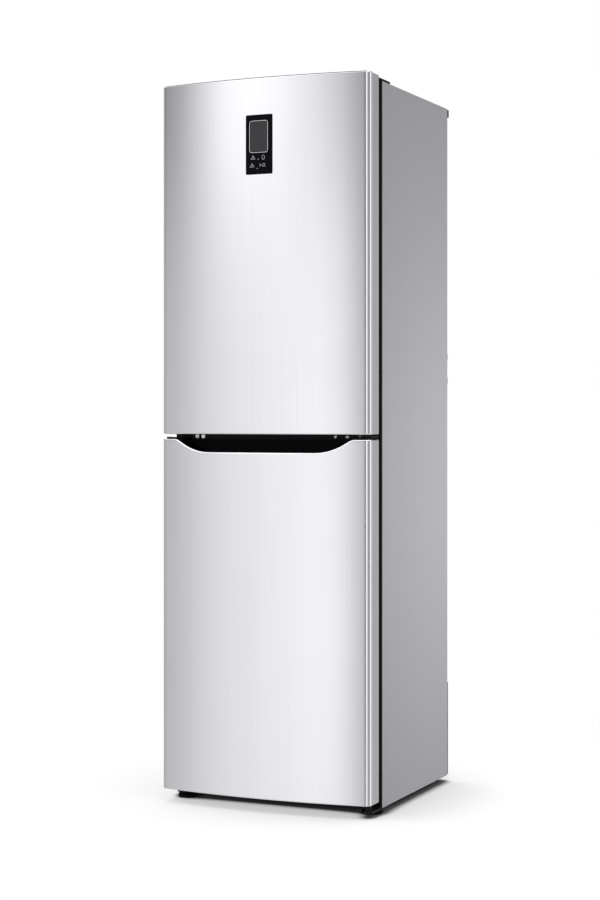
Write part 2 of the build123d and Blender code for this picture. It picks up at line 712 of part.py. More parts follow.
def shelf_glass(height):
    """One glass shelf resting on its two ribs."""
    front = SHELF_FRONT + TRIM_DEPTH - TRIM_LAP
    back = SHELF_BACK - TRIM_DEPTH + TRIM_LAP
    return block(-SHELF_HALF, SHELF_HALF, front, back, height, height + SHELF_GLASS)


def shelf_trims():
    """Front and rear edge strips gripping the glass shelves."""
    strips = []
    for height in SHELF_HEIGHTS:
        low = height - TRIM_WALL
        high = height + SHELF_GLASS + TRIM_WALL
        front = block(-SHELF_HALF, SHELF_HALF, SHELF_FRONT, SHELF_FRONT + TRIM_DEPTH, low - TRIM_APRON, high)
        front = fillet(front.edges().filter_by(Axis.X).group_by(Axis.Y)[0], TRIM_EDGE)
        rear = block(-SHELF_HALF, SHELF_HALF, SHELF_BACK - TRIM_DEPTH, SHELF_BACK, low, high + TRIM_BACKSTOP)
        glass = shelf_glass(height)
        strips.append(front - glass)
        strips.append(rear - glass)
    return Compound(children=strips)


def tub(x0, x1, y0, y1, z0, z1, wall, radius):
    """Open-topped container with rounded upright and lower edges."""
    outer = block(x0, x1, y0, y1, z0, z1)
    rim_edges = outer.faces().sort_by(Axis.Z)[-1].edges()
    outer = fillet([edge for edge in outer.edges() if edge not in rim_edges], radius)
    inner = block(x0 + wall, x1 - wall, y0 + wall, y1 - wall, z0 + wall, z1 + radius)
    lid_edges = inner.faces().sort_by(Axis.Z)[-1].edges()
    inner = fillet([edge for edge in inner.edges() if edge not in lid_edges], radius - wall)
    return outer - inner


CRISPER_WALL = 2.5
CRISPER_HEADROOM = 16.0
CRISPER_SETBACK = 12.0
CRISPER_BACK_GAP = 26.0
CRISPER_SIDE_GAP = 5.0
CRISPER_TOP = CRISPER_COVER_Z - CRISPER_HEADROOM
CRISPER_FRONT = SHELF_FRONT + CRISPER_SETBACK
CRISPER_BACK = INNER_BACK - CRISPER_BACK_GAP
CRISPER_MIDDLE_GAP = 3.0
CRISPER_RADIUS = 12.0
LIP_INSET = 22.0
LIP_REACH = 10.0
LIP_PLATE = 4.0
LIP_FACE = 3.0
LIP_DROP = 14.0


def crisper(side):
    """One vegetable drawer with a pull lip along its front, standing on the fridge floor."""
    near = CRISPER_MIDDLE_GAP
    far = INNER_HALF - CRISPER_SIDE_GAP
    base = FRIDGE_FLOOR + SLIDE_CLEARANCE
    bin_ = tub(near, far, CRISPER_FRONT, CRISPER_BACK, base, CRISPER_TOP, CRISPER_WALL, CRISPER_RADIUS)
    lip_near = near + LIP_INSET
    lip_far = far - LIP_INSET
    lip_front = CRISPER_FRONT - LIP_REACH
    lip_back = CRISPER_FRONT + CRISPER_WALL
    bin_ += block(lip_near, lip_far, lip_front, lip_back, CRISPER_TOP - LIP_PLATE, CRISPER_TOP)
    bin_ += block(lip_near, lip_far, lip_front, lip_front + LIP_FACE, CRISPER_TOP - LIP_DROP, CRISPER_TOP)
    return bin_ if side > 0 else mirror(bin_, about=Plane.YZ)


DRAWER_SIDE_GAP = 8.0
DRAWER_HALF = INNER_HALF - DRAWER_SIDE_GAP
DRAWER_RADIUS = 12.0
RIM_SIDE_GAP = 2.0
RIM_FRONT_TRIM = 22.0
RIM_BACK_TRIM = 14.0
PULL_SIDE_INSET = 89.5
PULL_REACH = 12.0
PULL_PLATE = 4.0
PULL_FROM_TOP = 40.0
PULL_DROP = 16.0


def freezer_drawer(back, base, top):
    """One freezer drawer hung by its side rims, with a raised front and a pull lip."""
    bin_ = tub(-DRAWER_HALF, DRAWER_HALF, DRAWER_FRONT, back, base, top, DRAWER_WALL, DRAWER_RADIUS)
    rim_near = DRAWER_HALF - DRAWER_WALL
    rim_far = INNER_HALF - RIM_SIDE_GAP
    rim_front = DRAWER_FRONT + RIM_FRONT_TRIM
    rim = block(rim_near, rim_far, rim_front, back - RIM_BACK_TRIM, top - DRAWER_RIM, top)
    bin_ += both_sides(rim)
    half = DRAWER_HALF - PULL_SIDE_INSET
    front = DRAWER_FRONT - PULL_REACH
    high = top - PULL_FROM_TOP
    lip = block(-half, half, front, DRAWER_FRONT + DRAWER_WALL, high - PULL_PLATE, high)
    lip += block(-half, half, front, front + PULL_PLATE, high - PULL_DROP, high)
    return bin_ + lip


# Hinges, cover, feet and small hardware

MIDDLE_PLATE_HALF = 9.0
MIDDLE_ARM_HALF = 2.0
MIDDLE_PLATE_REACH = 126.5
MIDDLE_PLATE_LEFT = HINGE_X - MIDDLE_PLATE_REACH
MIDDLE_SCREW_STEPS = (17.0, 50.0, 85.0)
MIDDLE_SCREWS = [MIDDLE_PLATE_LEFT + step for step in MIDDLE_SCREW_STEPS]
MIDDLE_ARM_REACH = 26.0
MIDDLE_EYE = 10.0
COLLAR_RADIUS = 8.0
SCREW_HOLE = 2.6
SCREW_SHANK = 2.5
SCREW_HEAD = 4.5
SCREW_HEAD_HEIGHT = 2.6
LOWER_PLATE = 5.0
LOWER_PLATE_BOTTOM = CABINET_BOTTOM - LOWER_PLATE
FOOT_INSET = 31.0
FOOT_SETBACK = 14.0
FOOT_X = HALF - FOOT_INSET
FOOT_Y = Y_FACE + FOOT_SETBACK
FOOT_RADIUS = 28.0
FOOT_HEIGHT = 9.0
FOOT_EDGE = 2.0
FOOT_NOTCHES = 12
NOTCH_RADIUS = 3.0
NOTCH_OUTSET = 1.5
STUD_RADIUS = 6.0
BRACKET_OUTER_INSET = 3.0
BRACKET_WIDTH = 75.0
BRACKET_DEPTH = 74.0
BRACKET_SCREW_INSET = 12.0
BRACKET_FAR = HALF - BRACKET_OUTER_INSET
BRACKET_NEAR = BRACKET_FAR - BRACKET_WIDTH
BRACKET_FRONT = Y_FACE + 2 * SHEET
BRACKET_BACK = BRACKET_FRONT + BRACKET_DEPTH
BRACKET_SCREW_Y = BRACKET_BACK - BRACKET_SCREW_INSET
BRACKET_SCREWS = [
    (BRACKET_NEAR + BRACKET_SCREW_INSET, BRACKET_SCREW_Y),
    (BRACKET_FAR - BRACKET_SCREW_INSET, BRACKET_SCREW_Y),
]
LOWER_ARM_HALF = 12.0
TOP_PLATE_REACH = 84.0
TOP_PLATE_GAP = 13.0
TOP_PLATE_SETBACK = 6.0
TOP_PLATE_DEPTH = 52.0
TOP_ARM_REACH = 36.0
TOP_ARM_HALF = 9.0
TOP_PLATE_LEFT = HINGE_X - TOP_PLATE_REACH
TOP_PLATE_RIGHT = HINGE_X - TOP_PLATE_GAP
TOP_PLATE_FRONT = Y_FACE + TOP_PLATE_SETBACK
TOP_PLATE_BACK = TOP_PLATE_FRONT + TOP_PLATE_DEPTH
TOP_SCREW_INSET = 12.0
TOP_SCREW_STEP = 24.0
TOP_SCREW_Y = TOP_PLATE_BACK - TOP_SCREW_INSET
TOP_SCREWS = [
    (TOP_PLATE_LEFT + TOP_SCREW_INSET, TOP_SCREW_Y - TOP_SCREW_STEP),
    (TOP_PLATE_LEFT + TOP_SCREW_INSET + TOP_SCREW_STEP, TOP_SCREW_Y),
    (TOP_PLATE_RIGHT - TOP_SCREW_INSET, TOP_SCREW_Y),
]


def top_hinge():
    """Cranked plate on the cabinet top, reaching over the fridge door to a fixed pin."""
    high = CABINET_TOP + HINGE_PLATE
    plate = block(TOP_PLATE_LEFT, TOP_PLATE_RIGHT, TOP_PLATE_FRONT, TOP_PLATE_BACK, CABINET_TOP, high)
    for x, y in TOP_SCREWS:
        plate -= post(x, y, CABINET_TOP - 1, high + 1, SCREW_HOLE)
    left = HINGE_X - TOP_ARM_REACH
    front = HINGE_Y - TOP_ARM_HALF
    back = HINGE_Y + TOP_ARM_HALF
    right = TOP_PLATE_RIGHT
    riser = TOP_PLATE_FRONT - HINGE_PLATE
    plate += block(left, right, riser, TOP_PLATE_FRONT, CABINET_TOP, ARM_TOP)
    plate += block(left, right, front, TOP_PLATE_FRONT, ARM_BOTTOM, ARM_TOP)
    plate += block(left, HINGE_X, front, back, ARM_BOTTOM, ARM_TOP)
    plate += post(HINGE_X, HINGE_Y, ARM_BOTTOM, ARM_TOP, TOP_ARM_HALF)
    return plate + post(HINGE_X, HINGE_Y, FRIDGE_DOOR_TOP - PIN_ENGAGEMENT, ARM_BOTTOM, PIN_RADIUS)


COVER_WALL = 2.0
COVER_LEFT_LAP = 8.0
COVER_RIGHT_LAP = 4.0
COVER_BACK_LAP = 6.0
COVER_DOOR_GAP = 7.0
COVER_CORNER_RADIUS = 4.0
COVER_EDGE_RADIUS = 2.0
SKIRT_SIDE_INSET = 4.5
SKIRT_HEIGHT = 6.0


def hinge_cover():
    """Black cover over the top hinge, open underneath and at the arm, with a low skirt on the right."""
    x0 = TOP_PLATE_LEFT - COVER_LEFT_LAP
    x1 = TOP_PLATE_RIGHT + COVER_RIGHT_LAP
    y0 = Y_DOOR_BACK + COVER_DOOR_GAP
    y1 = TOP_PLATE_BACK + COVER_BACK_LAP
    top = ARM_TOP + COVER_WALL + SLIDE_CLEARANCE
    cover = block(x0, x1, y0, y1, CABINET_TOP, top)
    cover = fillet(cover.edges().filter_by(Axis.Z), COVER_CORNER_RADIUS)
    cover = fillet(cover.faces().sort_by(Axis.Z)[-1].edges(), COVER_EDGE_RADIUS)
    cover -= block(
        x0 + COVER_WALL, x1 - COVER_WALL, y0 + COVER_WALL, y1 - COVER_WALL, CABINET_TOP - 1, top - COVER_WALL
    )
    slot_left = HINGE_X - TOP_ARM_REACH - SLIDE_CLEARANCE
    slot_right = TOP_PLATE_RIGHT + SLIDE_CLEARANCE
    slot_bottom = ARM_BOTTOM - SLIDE_CLEARANCE
    cover -= block(slot_left, slot_right, y0 - 1, y0 + 2 * COVER_WALL, slot_bottom, top - COVER_WALL)
    skirt_right = HALF - SKIRT_SIDE_INSET
    skirt = block(x1 - COVER_WALL, skirt_right, y0, y1, CABINET_TOP, CABINET_TOP + SKIRT_HEIGHT)
    skirt = fillet(skirt.edges().filter_by(Axis.Z).group_by(Axis.X)[-1], COVER_CORNER_RADIUS)
    return cover + skirt


def middle_hinge():
    """Bracket on the cross rail with an arm between the doors and a pin each way."""
    plate = block(
        MIDDLE_PLATE_LEFT,
        HINGE_X + MIDDLE_EYE,
        Y_FACE - HINGE_PLATE,
        Y_FACE,
        SPLIT_MIDDLE - MIDDLE_PLATE_HALF,
        SPLIT_MIDDLE + MIDDLE_PLATE_HALF,
    )
    for x in MIDDLE_SCREWS:
        plate -= rod_y(x, Y_FACE - HINGE_PLATE - 1, Y_FACE + 1, SPLIT_MIDDLE, SCREW_HOLE)
    low = SPLIT_MIDDLE - MIDDLE_ARM_HALF
    high = SPLIT_MIDDLE + MIDDLE_ARM_HALF
    left = HINGE_X - MIDDLE_ARM_REACH
    plate += block(left, HINGE_X + MIDDLE_EYE, HINGE_Y, Y_FACE - HINGE_PLATE, low, high)
    plate += block(left, HINGE_X, HINGE_Y - MIDDLE_EYE, HINGE_Y, low, high)
    plate += post(HINGE_X, HINGE_Y, low, high, MIDDLE_EYE)
    collar_low = FREEZER_DOOR_TOP + DOOR_CLEARANCE
    collar_high = FRIDGE_DOOR_BOTTOM - DOOR_CLEARANCE
    plate += post(HINGE_X, HINGE_Y, collar_low, collar_high, COLLAR_RADIUS)
    pin_low = FREEZER_DOOR_TOP - PIN_ENGAGEMENT
    pin_high = FRIDGE_DOOR_BOTTOM + PIN_ENGAGEMENT
    return plate + post(HINGE_X, HINGE_Y, pin_low, pin_high, PIN_RADIUS)


def foot_plate():
    """Plate under a front corner of the cabinet with a hole for the foot's stud."""
    low = LOWER_PLATE_BOTTOM
    plate = block(BRACKET_NEAR, BRACKET_FAR, BRACKET_FRONT, BRACKET_BACK, low, CABINET_BOTTOM)
    plate -= post(FOOT_X, FOOT_Y, low - 1, CABINET_BOTTOM + 1, STUD_RADIUS + RUN_FIT)
    for x, y in BRACKET_SCREWS:
        plate -= post(x, y, low - 1, CABINET_BOTTOM + 1, SCREW_HOLE)
    return plate


def lower_hinge():
    """Right-hand foot plate with an arm and a shouldered pin under the freezer door."""
    plate = foot_plate()
    low = LOWER_PLATE_BOTTOM
    left = HINGE_X - LOWER_ARM_HALF
    right = HINGE_X + LOWER_ARM_HALF
    plate += block(left, right, HINGE_Y, BRACKET_FRONT, low, CABINET_BOTTOM)
    plate += post(HINGE_X, HINGE_Y, low, CABINET_BOTTOM, LOWER_ARM_HALF)
    plate += post(HINGE_X, HINGE_Y, CABINET_BOTTOM, DOOR_BOTTOM - DOOR_CLEARANCE, COLLAR_RADIUS)
    return plate + post(HINGE_X, HINGE_Y, CABINET_BOTTOM, DOOR_BOTTOM + PIN_ENGAGEMENT, PIN_RADIUS)


def foot_bracket():
    """Left-hand foot plate."""
    return mirror(foot_plate(), about=Plane.YZ)


def front_foot(side):
    """Levelling foot with a notched rim and a stud running in its plate."""
    foot = post(side * FOOT_X, FOOT_Y, 0, FOOT_HEIGHT, FOOT_RADIUS)
    foot = fillet(foot.edges().sort_by(Axis.Z)[0], FOOT_EDGE)
    foot = fillet(foot.edges().filter_by(GeomType.CIRCLE).sort_by(Axis.Z)[-1], FOOT_EDGE)
    groove = Pos(FOOT_RADIUS + NOTCH_OUTSET, 0, 0) * Cylinder(NOTCH_RADIUS, 4 * FOOT_HEIGHT)
    for notch in range(FOOT_NOTCHES):
        foot -= Pos(side * FOOT_X, FOOT_Y, 0) * Rot(0, 0, notch * 360 / FOOT_NOTCHES) * groove
    return foot + post(side * FOOT_X, FOOT_Y, FOOT_HEIGHT, CABINET_BOTTOM - SLIDE_CLEARANCE, STUD_RADIUS)


def screw_up(x, y, seat, depth, direction):
    """Pan-head screw on an upright axis, its head on the side given by direction."""
    crown = seat + direction * SCREW_HEAD_HEIGHT
    end = seat - direction * depth
    head = post(x, y, min(seat, crown), max(seat, crown), SCREW_HEAD)
    return head + post(x, y, min(seat, end), max(seat, end), SCREW_SHANK)


def screws():
    """Pan-head screws of the three hinges and the left foot plate."""
    group = []
    for x, y in TOP_SCREWS:
        group.append(screw_up(x, y, CABINET_TOP + HINGE_PLATE, HINGE_PLATE, 1))
    for x in MIDDLE_SCREWS:
        seat = Y_FACE - HINGE_PLATE
        screw = rod_y(x, seat - SCREW_HEAD_HEIGHT, seat, SPLIT_MIDDLE, SCREW_HEAD)
        group.append(screw + rod_y(x, seat, Y_FACE, SPLIT_MIDDLE, SCREW_SHANK))
    for x, y in BRACKET_SCREWS:
        screw = screw_up(x, y, LOWER_PLATE_BOTTOM, LOWER_PLATE, -1)
        group.append(screw)
        group.append(mirror(screw, about=Plane.YZ))
    return Compound(children=group)


PLUG_RADIUS = 5.5
PLUG_RISE = 2.0
RAIL_PLUG_INSETS = (64.5, 82.5)


def hole_plugs():
    """White plugs over the unused hinge holes on the left."""
    plugs = []
    for inset in RAIL_PLUG_INSETS:
        plugs.append(rod_y(inset - HALF, Y_FACE - PLUG_RISE, Y_FACE, SPLIT_MIDDLE, PLUG_RADIUS))
    for x, y in TOP_SCREWS:
        plugs.append(post(-x, y, CABINET_TOP, CABINET_TOP + PLUG_RISE, PLUG_RADIUS))
    return Compound(children=plugs)


# Doors

SKIN = 1.0
SKIN_LIP = 16.0
DOOR_PLATE = 2.0
END_CAP = 22.0
GRIP_CAP = 46.0
HANDLE_CAP = 72.0
HANDLE_WELL = 60.0
GRIP_WALL = 12.0
GRIP_ROOF = 12.0
GRIP_REAR_WALL = 20.0
BORE_RELIEF = 4.0
GASKET_HINGE_GAP = 1.5
GRIP_BACK = Y_DOOR_BACK - GRIP_REAR_WALL
BORE_DEPTH = PIN_ENGAGEMENT + BORE_RELIEF
GASKET_SIDE_INSET = HINGE_INSET + GASKET_HINGE_GAP
GASKET_WIDTH = 14.0
GASKET_END_INSET = 6.0
DYKE_REACH = 40.0
DYKE_WALL = 12.0
DYKE_CLEARANCE = 10.0
DYKE_CORNER = 8.0
LINER_SIDE_INSET = 5.0
LINER_END_INSET = 4.0
FREEZER_PANEL_RISE = 8.0
FREEZER_PANEL_GAP = 12.0
FREEZER_PANEL_CORNER = 14.0
FREEZER_PANEL_EDGE = 4.0
GASKET_FOOT = 4.0
GASKET_HEAD = 5.0
NECK_INSET = 3.0
HEAD_INSET = 1.0
FRONT_RADIUS = (HALF**2 + DOOR_BULGE**2) / (2 * DOOR_BULGE)


def door_prism(inset, back, z0, z1):
    """Upright prism on the door's curved plan, set in from the front and sides by inset."""
    radius = FRONT_RADIUS - inset
    half = HALF - inset
    corner = Y_CROWN + FRONT_RADIUS - sqrt(radius**2 - half**2)
    left = Line((-half, back), (-half, corner))
    front = ThreePointArc((-half, corner), (0, Y_CROWN + inset), (half, corner))
    right = Line((half, corner), (half, back))
    rear = Line((half, back), (-half, back))
    plan = make_face([left, front, right, rear])
    plan = fillet(plan.vertices().group_by(Axis.Y)[0], max(DOOR_CORNER_RADIUS - inset, SKIN))
    return Pos(0, 0, z0) * extrude(plan, amount=z1 - z0)


def door_skin(z0, z1):
    """Steel wrap of a door: curved front, two sides and lips turned in at the back."""
    skin = door_prism(0, Y_DOOR_BACK, z0, z1)
    skin -= door_prism(SKIN, Y_DOOR_BACK - SKIN, z0 - 1, z1 + 1)
    lip_half = HALF - SKIN_LIP
    return skin - block(-lip_half, lip_half, Y_DOOR_BACK - 2 * SKIN, Y_DOOR_BACK + 1, z0 - 1, z1 + 1)


def cap_blank(z0, z1):
    """Solid plug that fills one end of a door skin."""
    return door_prism(SKIN + SEAM, Y_DOOR_BACK - SKIN - SEAM, z0, z1)


def bore(z0, z1):
    """Running bore for a hinge pin."""
    return post(HINGE_X, HINGE_Y, z0, z1, PIN_RADIUS + RUN_FIT)


def scoop(depth_front, depth_back):
    """Handle scoop seen from the front, cut between two depths."""
    top = FREEZER_DOOR_TOP
    floor = top - SCOOP_DEPTH
    high = top + 20
    points = [
        (-HALF - 5, high),
        (-HALF - 5, top),
        (-SCOOP_TOP_HALF, top),
        (-SCOOP_FLOOR_HALF, floor),
        (SCOOP_FLOOR_HALF, floor),
        (SCOOP_TOP_HALF, top),
        (HALF + 5, top),
        (HALF + 5, high),
    ]
    outline = make_face(Polyline(*points, close=True))
    rims = [v for v in outline.vertices() if abs(abs(v.X) - SCOOP_TOP_HALF) < 0.01]
    outline = fillet(rims, SCOOP_TOP_RADIUS)
    floors = [v for v in outline.vertices() if abs(abs(v.X) - SCOOP_FLOOR_HALF) < 0.01]
    outline = fillet(floors, SCOOP_FLOOR_RADIUS)
    front_plane = Plane(origin=(0, depth_back, 0), x_dir=(1, 0, 0), z_dir=(0, -1, 0))
    return extrude(front_plane * outline, amount=depth_back - depth_front)


def grip_well(z0, z1):
    """Finger well behind the curved front wall of a grip."""
    well = door_prism(GRIP_WALL, GRIP_BACK, z0, z1)
    return well & block(-SCOOP_FLOOR_HALF, SCOOP_FLOOR_HALF, Y_CROWN, GRIP_BACK, z0, z1)


def door_foam(z0, z1):
    """Insulation between the two end caps of a door."""
    inset = SKIN + FOAM_FIT
    return door_prism(inset, Y_DOOR_BACK - inset, z0 + SEAM, z1 - SEAM)


def back_plate(z0, z1):
    """Flat back of a door liner, lapping the skin's lips."""
    edge = HALF - LINER_SIDE_INSET
    low = z0 + LINER_END_INSET
    return block(-edge, edge, Y_DOOR_BACK, Y_DOOR_BACK + DOOR_PLATE, low, z1 - LINER_END_INSET)


def ring(x, y0, y1, z0, z1, wall):
    """Upright rectangular frame, open in the middle."""
    frame = block(-x, x, y0, y1, z0, z1)
    return frame - block(wall - x, x - wall, y0 - 1, y1 + 1, z0 + wall, z1 - wall)


def gasket(z0, z1):
    """Door seal: foot, bellows neck and magnet head in one frame."""
    half = HALF - GASKET_SIDE_INSET
    foot_y = Y_DOOR_BACK + DOOR_PLATE
    neck_y = foot_y + GASKET_FOOT
    end_y = Y_FACE - DOOR_CLEARANCE
    head_y = end_y - GASKET_HEAD
    neck_width = GASKET_WIDTH - 2 * NECK_INSET
    head_width = GASKET_WIDTH - 2 * HEAD_INSET
    seal = ring(half, foot_y, neck_y, z0, z1, GASKET_WIDTH)
    seal += ring(half - NECK_INSET, neck_y, head_y, z0 + NECK_INSET, z1 - NECK_INSET, neck_width)
    return seal + ring(half - HEAD_INSET, head_y, end_y, z0 + HEAD_INSET, z1 - HEAD_INSET, head_width)


DISPLAY_TOP = FRIDGE_DOOR_TOP - DISPLAY_FROM_TOP
DISPLAY_BOTTOM = DISPLAY_TOP - DISPLAY_HEIGHT
DISPLAY_FRONT = Y_CROWN + SEAM
HOUSING_LAP = 6.0
HOUSING_DEPTH = 22.0
HOUSING_WALL = 8.0
HOUSING_REAR_WALL = 3.0
SMALLEST_CORNER = 1.0
HOUSING_FRONT = Y_CROWN + 2 * SKIN
HOUSING_BACK = HOUSING_FRONT + HOUSING_DEPTH


def display_slab(grow, y0, y1):
    """Rounded upright slab on the outline of the display, made larger by grow."""
    half = DISPLAY_WIDTH / 2 + grow
    slab = block(-half, half, y0, y1, DISPLAY_BOTTOM - grow, DISPLAY_TOP + grow)
    return fillet(slab.edges().filter_by(Axis.Y), max(DISPLAY_CORNER + grow, SMALLEST_CORNER))


def display_glass():
    """Black front glass of the display."""
    return display_slab(0, DISPLAY_FRONT, DISPLAY_FRONT + DISPLAY_GLASS)


def display_housing():
    """Box behind the front skin that carries the display glass and its board."""
    housing = display_slab(HOUSING_LAP, HOUSING_FRONT, HOUSING_BACK)
    housing -= display_slab(SEAM, HOUSING_FRONT - 1, DISPLAY_FRONT + DISPLAY_GLASS)
    return housing - display_slab(-HOUSING_WALL, HOUSING_FRONT - 1, HOUSING_BACK - HOUSING_REAR_WALL)


def fridge_door_skin():
    """Fridge door wrap with the display opening."""
    skin = door_skin(FRIDGE_DOOR_BOTTOM, FRIDGE_DOOR_TOP)
    return skin - display_slab(SEAM, Y_CROWN - 1, Y_CROWN + 3 * SKIN)


def fridge_door_top_cap():
    """Upper end cap of the fridge door with the bore for the top pin."""
    cap = cap_blank(FRIDGE_DOOR_TOP - END_CAP, FRIDGE_DOOR_TOP - CAP_RECESS)
    return cap - bore(FRIDGE_DOOR_TOP - BORE_DEPTH, FRIDGE_DOOR_TOP + 1)


def fridge_door_bottom_cap():
    """Lower end cap of the fridge door, hollowed underneath as a finger grip."""
    low = FRIDGE_DOOR_BOTTOM
    cap = cap_blank(low + CAP_RECESS, low + GRIP_CAP)
    cap -= bore(low - 1, low + BORE_DEPTH)
    return cap - grip_well(low - 1, low + GRIP_CAP - GRIP_ROOF)


def fridge_door_foam():
    """Fridge door insulation with a pocket for the display housing."""
    foam = door_foam(FRIDGE_DOOR_BOTTOM + GRIP_CAP, FRIDGE_DOOR_TOP - END_CAP)
    return foam - display_slab(HOUSING_LAP + FOAM_FIT, Y_CROWN - 1, HOUSING_BACK + FOAM_FIT)


DYKE_HALF = INNER_HALF - DYKE_CLEARANCE
DYKE_BACK = Y_DOOR_BACK + DOOR_PLATE + DYKE_REACH


def fridge_door_liner():
    """Flat inner liner of the fridge door."""
    return back_plate(FRIDGE_DOOR_BOTTOM, CABINET_TOP)


def fridge_door_frame():
    """Raised frame on the fridge door's liner that holds the baskets."""
    dyke = ring(
        DYKE_HALF,
        Y_DOOR_BACK + DOOR_PLATE,
        DYKE_BACK,
        FRIDGE_FLOOR + DYKE_CLEARANCE,
        FRIDGE_CEILING - DYKE_CLEARANCE,
        DYKE_WALL,
    )
    return fillet(dyke.edges().filter_by(Axis.Y), DYKE_CORNER)


def fridge_door_gasket():
    """Seal of the fridge door, kept below the cabinet top."""
    return gasket(FRIDGE_DOOR_BOTTOM + GASKET_END_INSET, CABINET_TOP - GASKET_END_INSET)


BASKET_HALF = DYKE_HALF - DYKE_WALL
BASKET_WALL = 2.5
BASKET_BACK = Y_FACE + BASKET_REACH
BASKET_RADIUS = 10.0
BASKET_RAIL_INSET = 14.0
BASKET_RAIL_DEPTH = 5.0
BASKET_RAIL_HEIGHT = 8.0
BASKET_BASE = FRIDGE_FLOOR + DYKE_CLEARANCE + DYKE_WALL
BASKET_ROOM = FRIDGE_CEILING - DYKE_CLEARANCE - DYKE_WALL - BASKET_BASE
# Where each basket stands, as a share of the room inside the raised frame, and how high it is
BASKETS = {
    "door_basket_bottom": (0.0, 115.0),
    "door_basket_middle": (0.353, 85.0),
    "door_basket_top": (0.676, 75.0),
}


def door_basket(base, height):
    """Open basket held between the two uprights of the door liner."""
    front = Y_DOOR_BACK + DOOR_PLATE
    top = base + height
    basket = tub(-BASKET_HALF, BASKET_HALF, front, BASKET_BACK, base, top, BASKET_WALL, BASKET_RADIUS)
    rail_half = BASKET_HALF - BASKET_RAIL_INSET
    rail_front = BASKET_BACK - BASKET_RAIL_DEPTH
    return basket + block(-rail_half, rail_half, rail_front, BASKET_BACK, top - BASKET_RAIL_HEIGHT, top)


def freezer_door_skin():
    """Freezer door wrap with the handle scoop cut in its top edge."""
    skin = door_skin(DOOR_BOTTOM, FREEZER_DOOR_TOP)
    return skin - scoop(Y_CROWN - 1, GRIP_BACK)


def freezer_door_handle_cap():
    """Upper end cap of the freezer door: open scoop with a finger well behind its front wall."""
    top = FREEZER_DOOR_TOP
    cap = cap_blank(top - HANDLE_CAP, top - CAP_RECESS)
    cap -= scoop(Y_CROWN - 1, GRIP_BACK)
    cap -= grip_well(top - HANDLE_WELL, top + 1)
    return cap - bore(top - BORE_DEPTH, top + 1)


def freezer_door_bottom_cap():
    """Lower end cap of the freezer door with the bore for the lower pin."""
    cap = cap_blank(DOOR_BOTTOM + CAP_RECESS, DOOR_BOTTOM + END_CAP)
    return cap - bore(DOOR_BOTTOM - 1, DOOR_BOTTOM + BORE_DEPTH)


def freezer_door_foam():
    """Freezer door insulation."""
    return door_foam(DOOR_BOTTOM + END_CAP, FREEZER_DOOR_TOP - HANDLE_CAP)


def freezer_door_liner():
    """Inner liner of the freezer door with a low raised panel."""
    liner = back_plate(DOOR_BOTTOM, FREEZER_DOOR_TOP)
    half = INNER_HALF - FREEZER_PANEL_GAP
    front = Y_DOOR_BACK + DOOR_PLATE
    low = FREEZER_FLOOR + FREEZER_PANEL_GAP
    high = FREEZER_CEILING - FREEZER_PANEL_GAP
    panel = block(-half, half, front, front + FREEZER_PANEL_RISE, low, high)
    panel = fillet(panel.edges().filter_by(Axis.Y), FREEZER_PANEL_CORNER)
    panel = fillet(panel.faces().sort_by(Axis.Y)[-1].edges(), FREEZER_PANEL_EDGE)
    return liner + panel


def freezer_door_gasket():
    """Seal of the freezer door."""
    return gasket(DOOR_BOTTOM + GASKET_END_INSET, FREEZER_DOOR_TOP - GASKET_END_INSET)


# Export, one file per piece

save("cabinet_shell", cabinet_shell())
save("rear_panel", rear_panel())
save("cabinet_foam", cabinet_foam())
save("fridge_liner", fridge_liner())
save("freezer_liner", freezer_liner())
save("divider_rail", divider_rail())
save("base_pan", base_pan())
save("compressor_base", compressor_base())
save("roller_left", roller(-ROLLER_X))
save("roller_right", roller(ROLLER_X))
save("compressor", compressor())
save("compressor_mounts", compressor_mounts())
save("drain_tray", drain_tray())
save("machine_cover", machine_cover())
save("cord_gland", cord_gland())
save("rear_spacers", rear_spacers())
save("control_box", control_box())
save("evaporator_cover", evaporator_cover())
save("evaporator", evaporator())
save("fan_motor", fan_motor())
save("evaporator_fan", evaporator_fan())
save("air_duct", air_duct())
save("lamp_cover", lamp_cover())
save("crisper_cover_glass", shelf_glass(SHELF_HEIGHTS[0]))
save("shelf_glass_low", shelf_glass(SHELF_HEIGHTS[1]))
save("shelf_glass_middle", shelf_glass(SHELF_HEIGHTS[2]))
save("shelf_glass_high", shelf_glass(SHELF_HEIGHTS[3]))
save("shelf_trims", shelf_trims())
save("crisper_left", crisper(-1))
save("crisper_right", crisper(1))
for drawer_name, drawer_sizes in DRAWERS.items():
    save(drawer_name, freezer_drawer(*drawer_sizes))
save("top_hinge", top_hinge())
save("hinge_cover", hinge_cover())
save("middle_hinge", middle_hinge())
save("lower_hinge", lower_hinge())
save("foot_bracket", foot_bracket())
save("foot_left", front_foot(-1))
save("foot_right", front_foot(1))
save("screws", screws())
save("hole_plugs", hole_plugs())
save("fridge_door_skin", fridge_door_skin())
save("fridge_door_top_cap", fridge_door_top_cap())
save("fridge_door_bottom_cap", fridge_door_bottom_cap())
save("fridge_door_foam", fridge_door_foam())
save("fridge_door_liner", fridge_door_liner())
save("fridge_door_frame", fridge_door_frame())
save("fridge_door_gasket", fridge_door_gasket())
save("display_glass", display_glass())
save("display_housing", display_housing())
for basket_name, (share, basket_height) in BASKETS.items():
    save(basket_name, door_basket(BASKET_BASE + share * BASKET_ROOM, basket_height))
save("freezer_door_skin", freezer_door_skin())
save("freezer_door_handle_cap", freezer_door_handle_cap())
save("freezer_door_bottom_cap", freezer_door_bottom_cap())
save("freezer_door_foam", freezer_door_foam())
save("freezer_door_liner", freezer_door_liner())
save("freezer_door_gasket", freezer_door_gasket())
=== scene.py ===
"""Dresses a two-door bottom-freezer refrigerator: doors, display, trims, finishes and studio."""

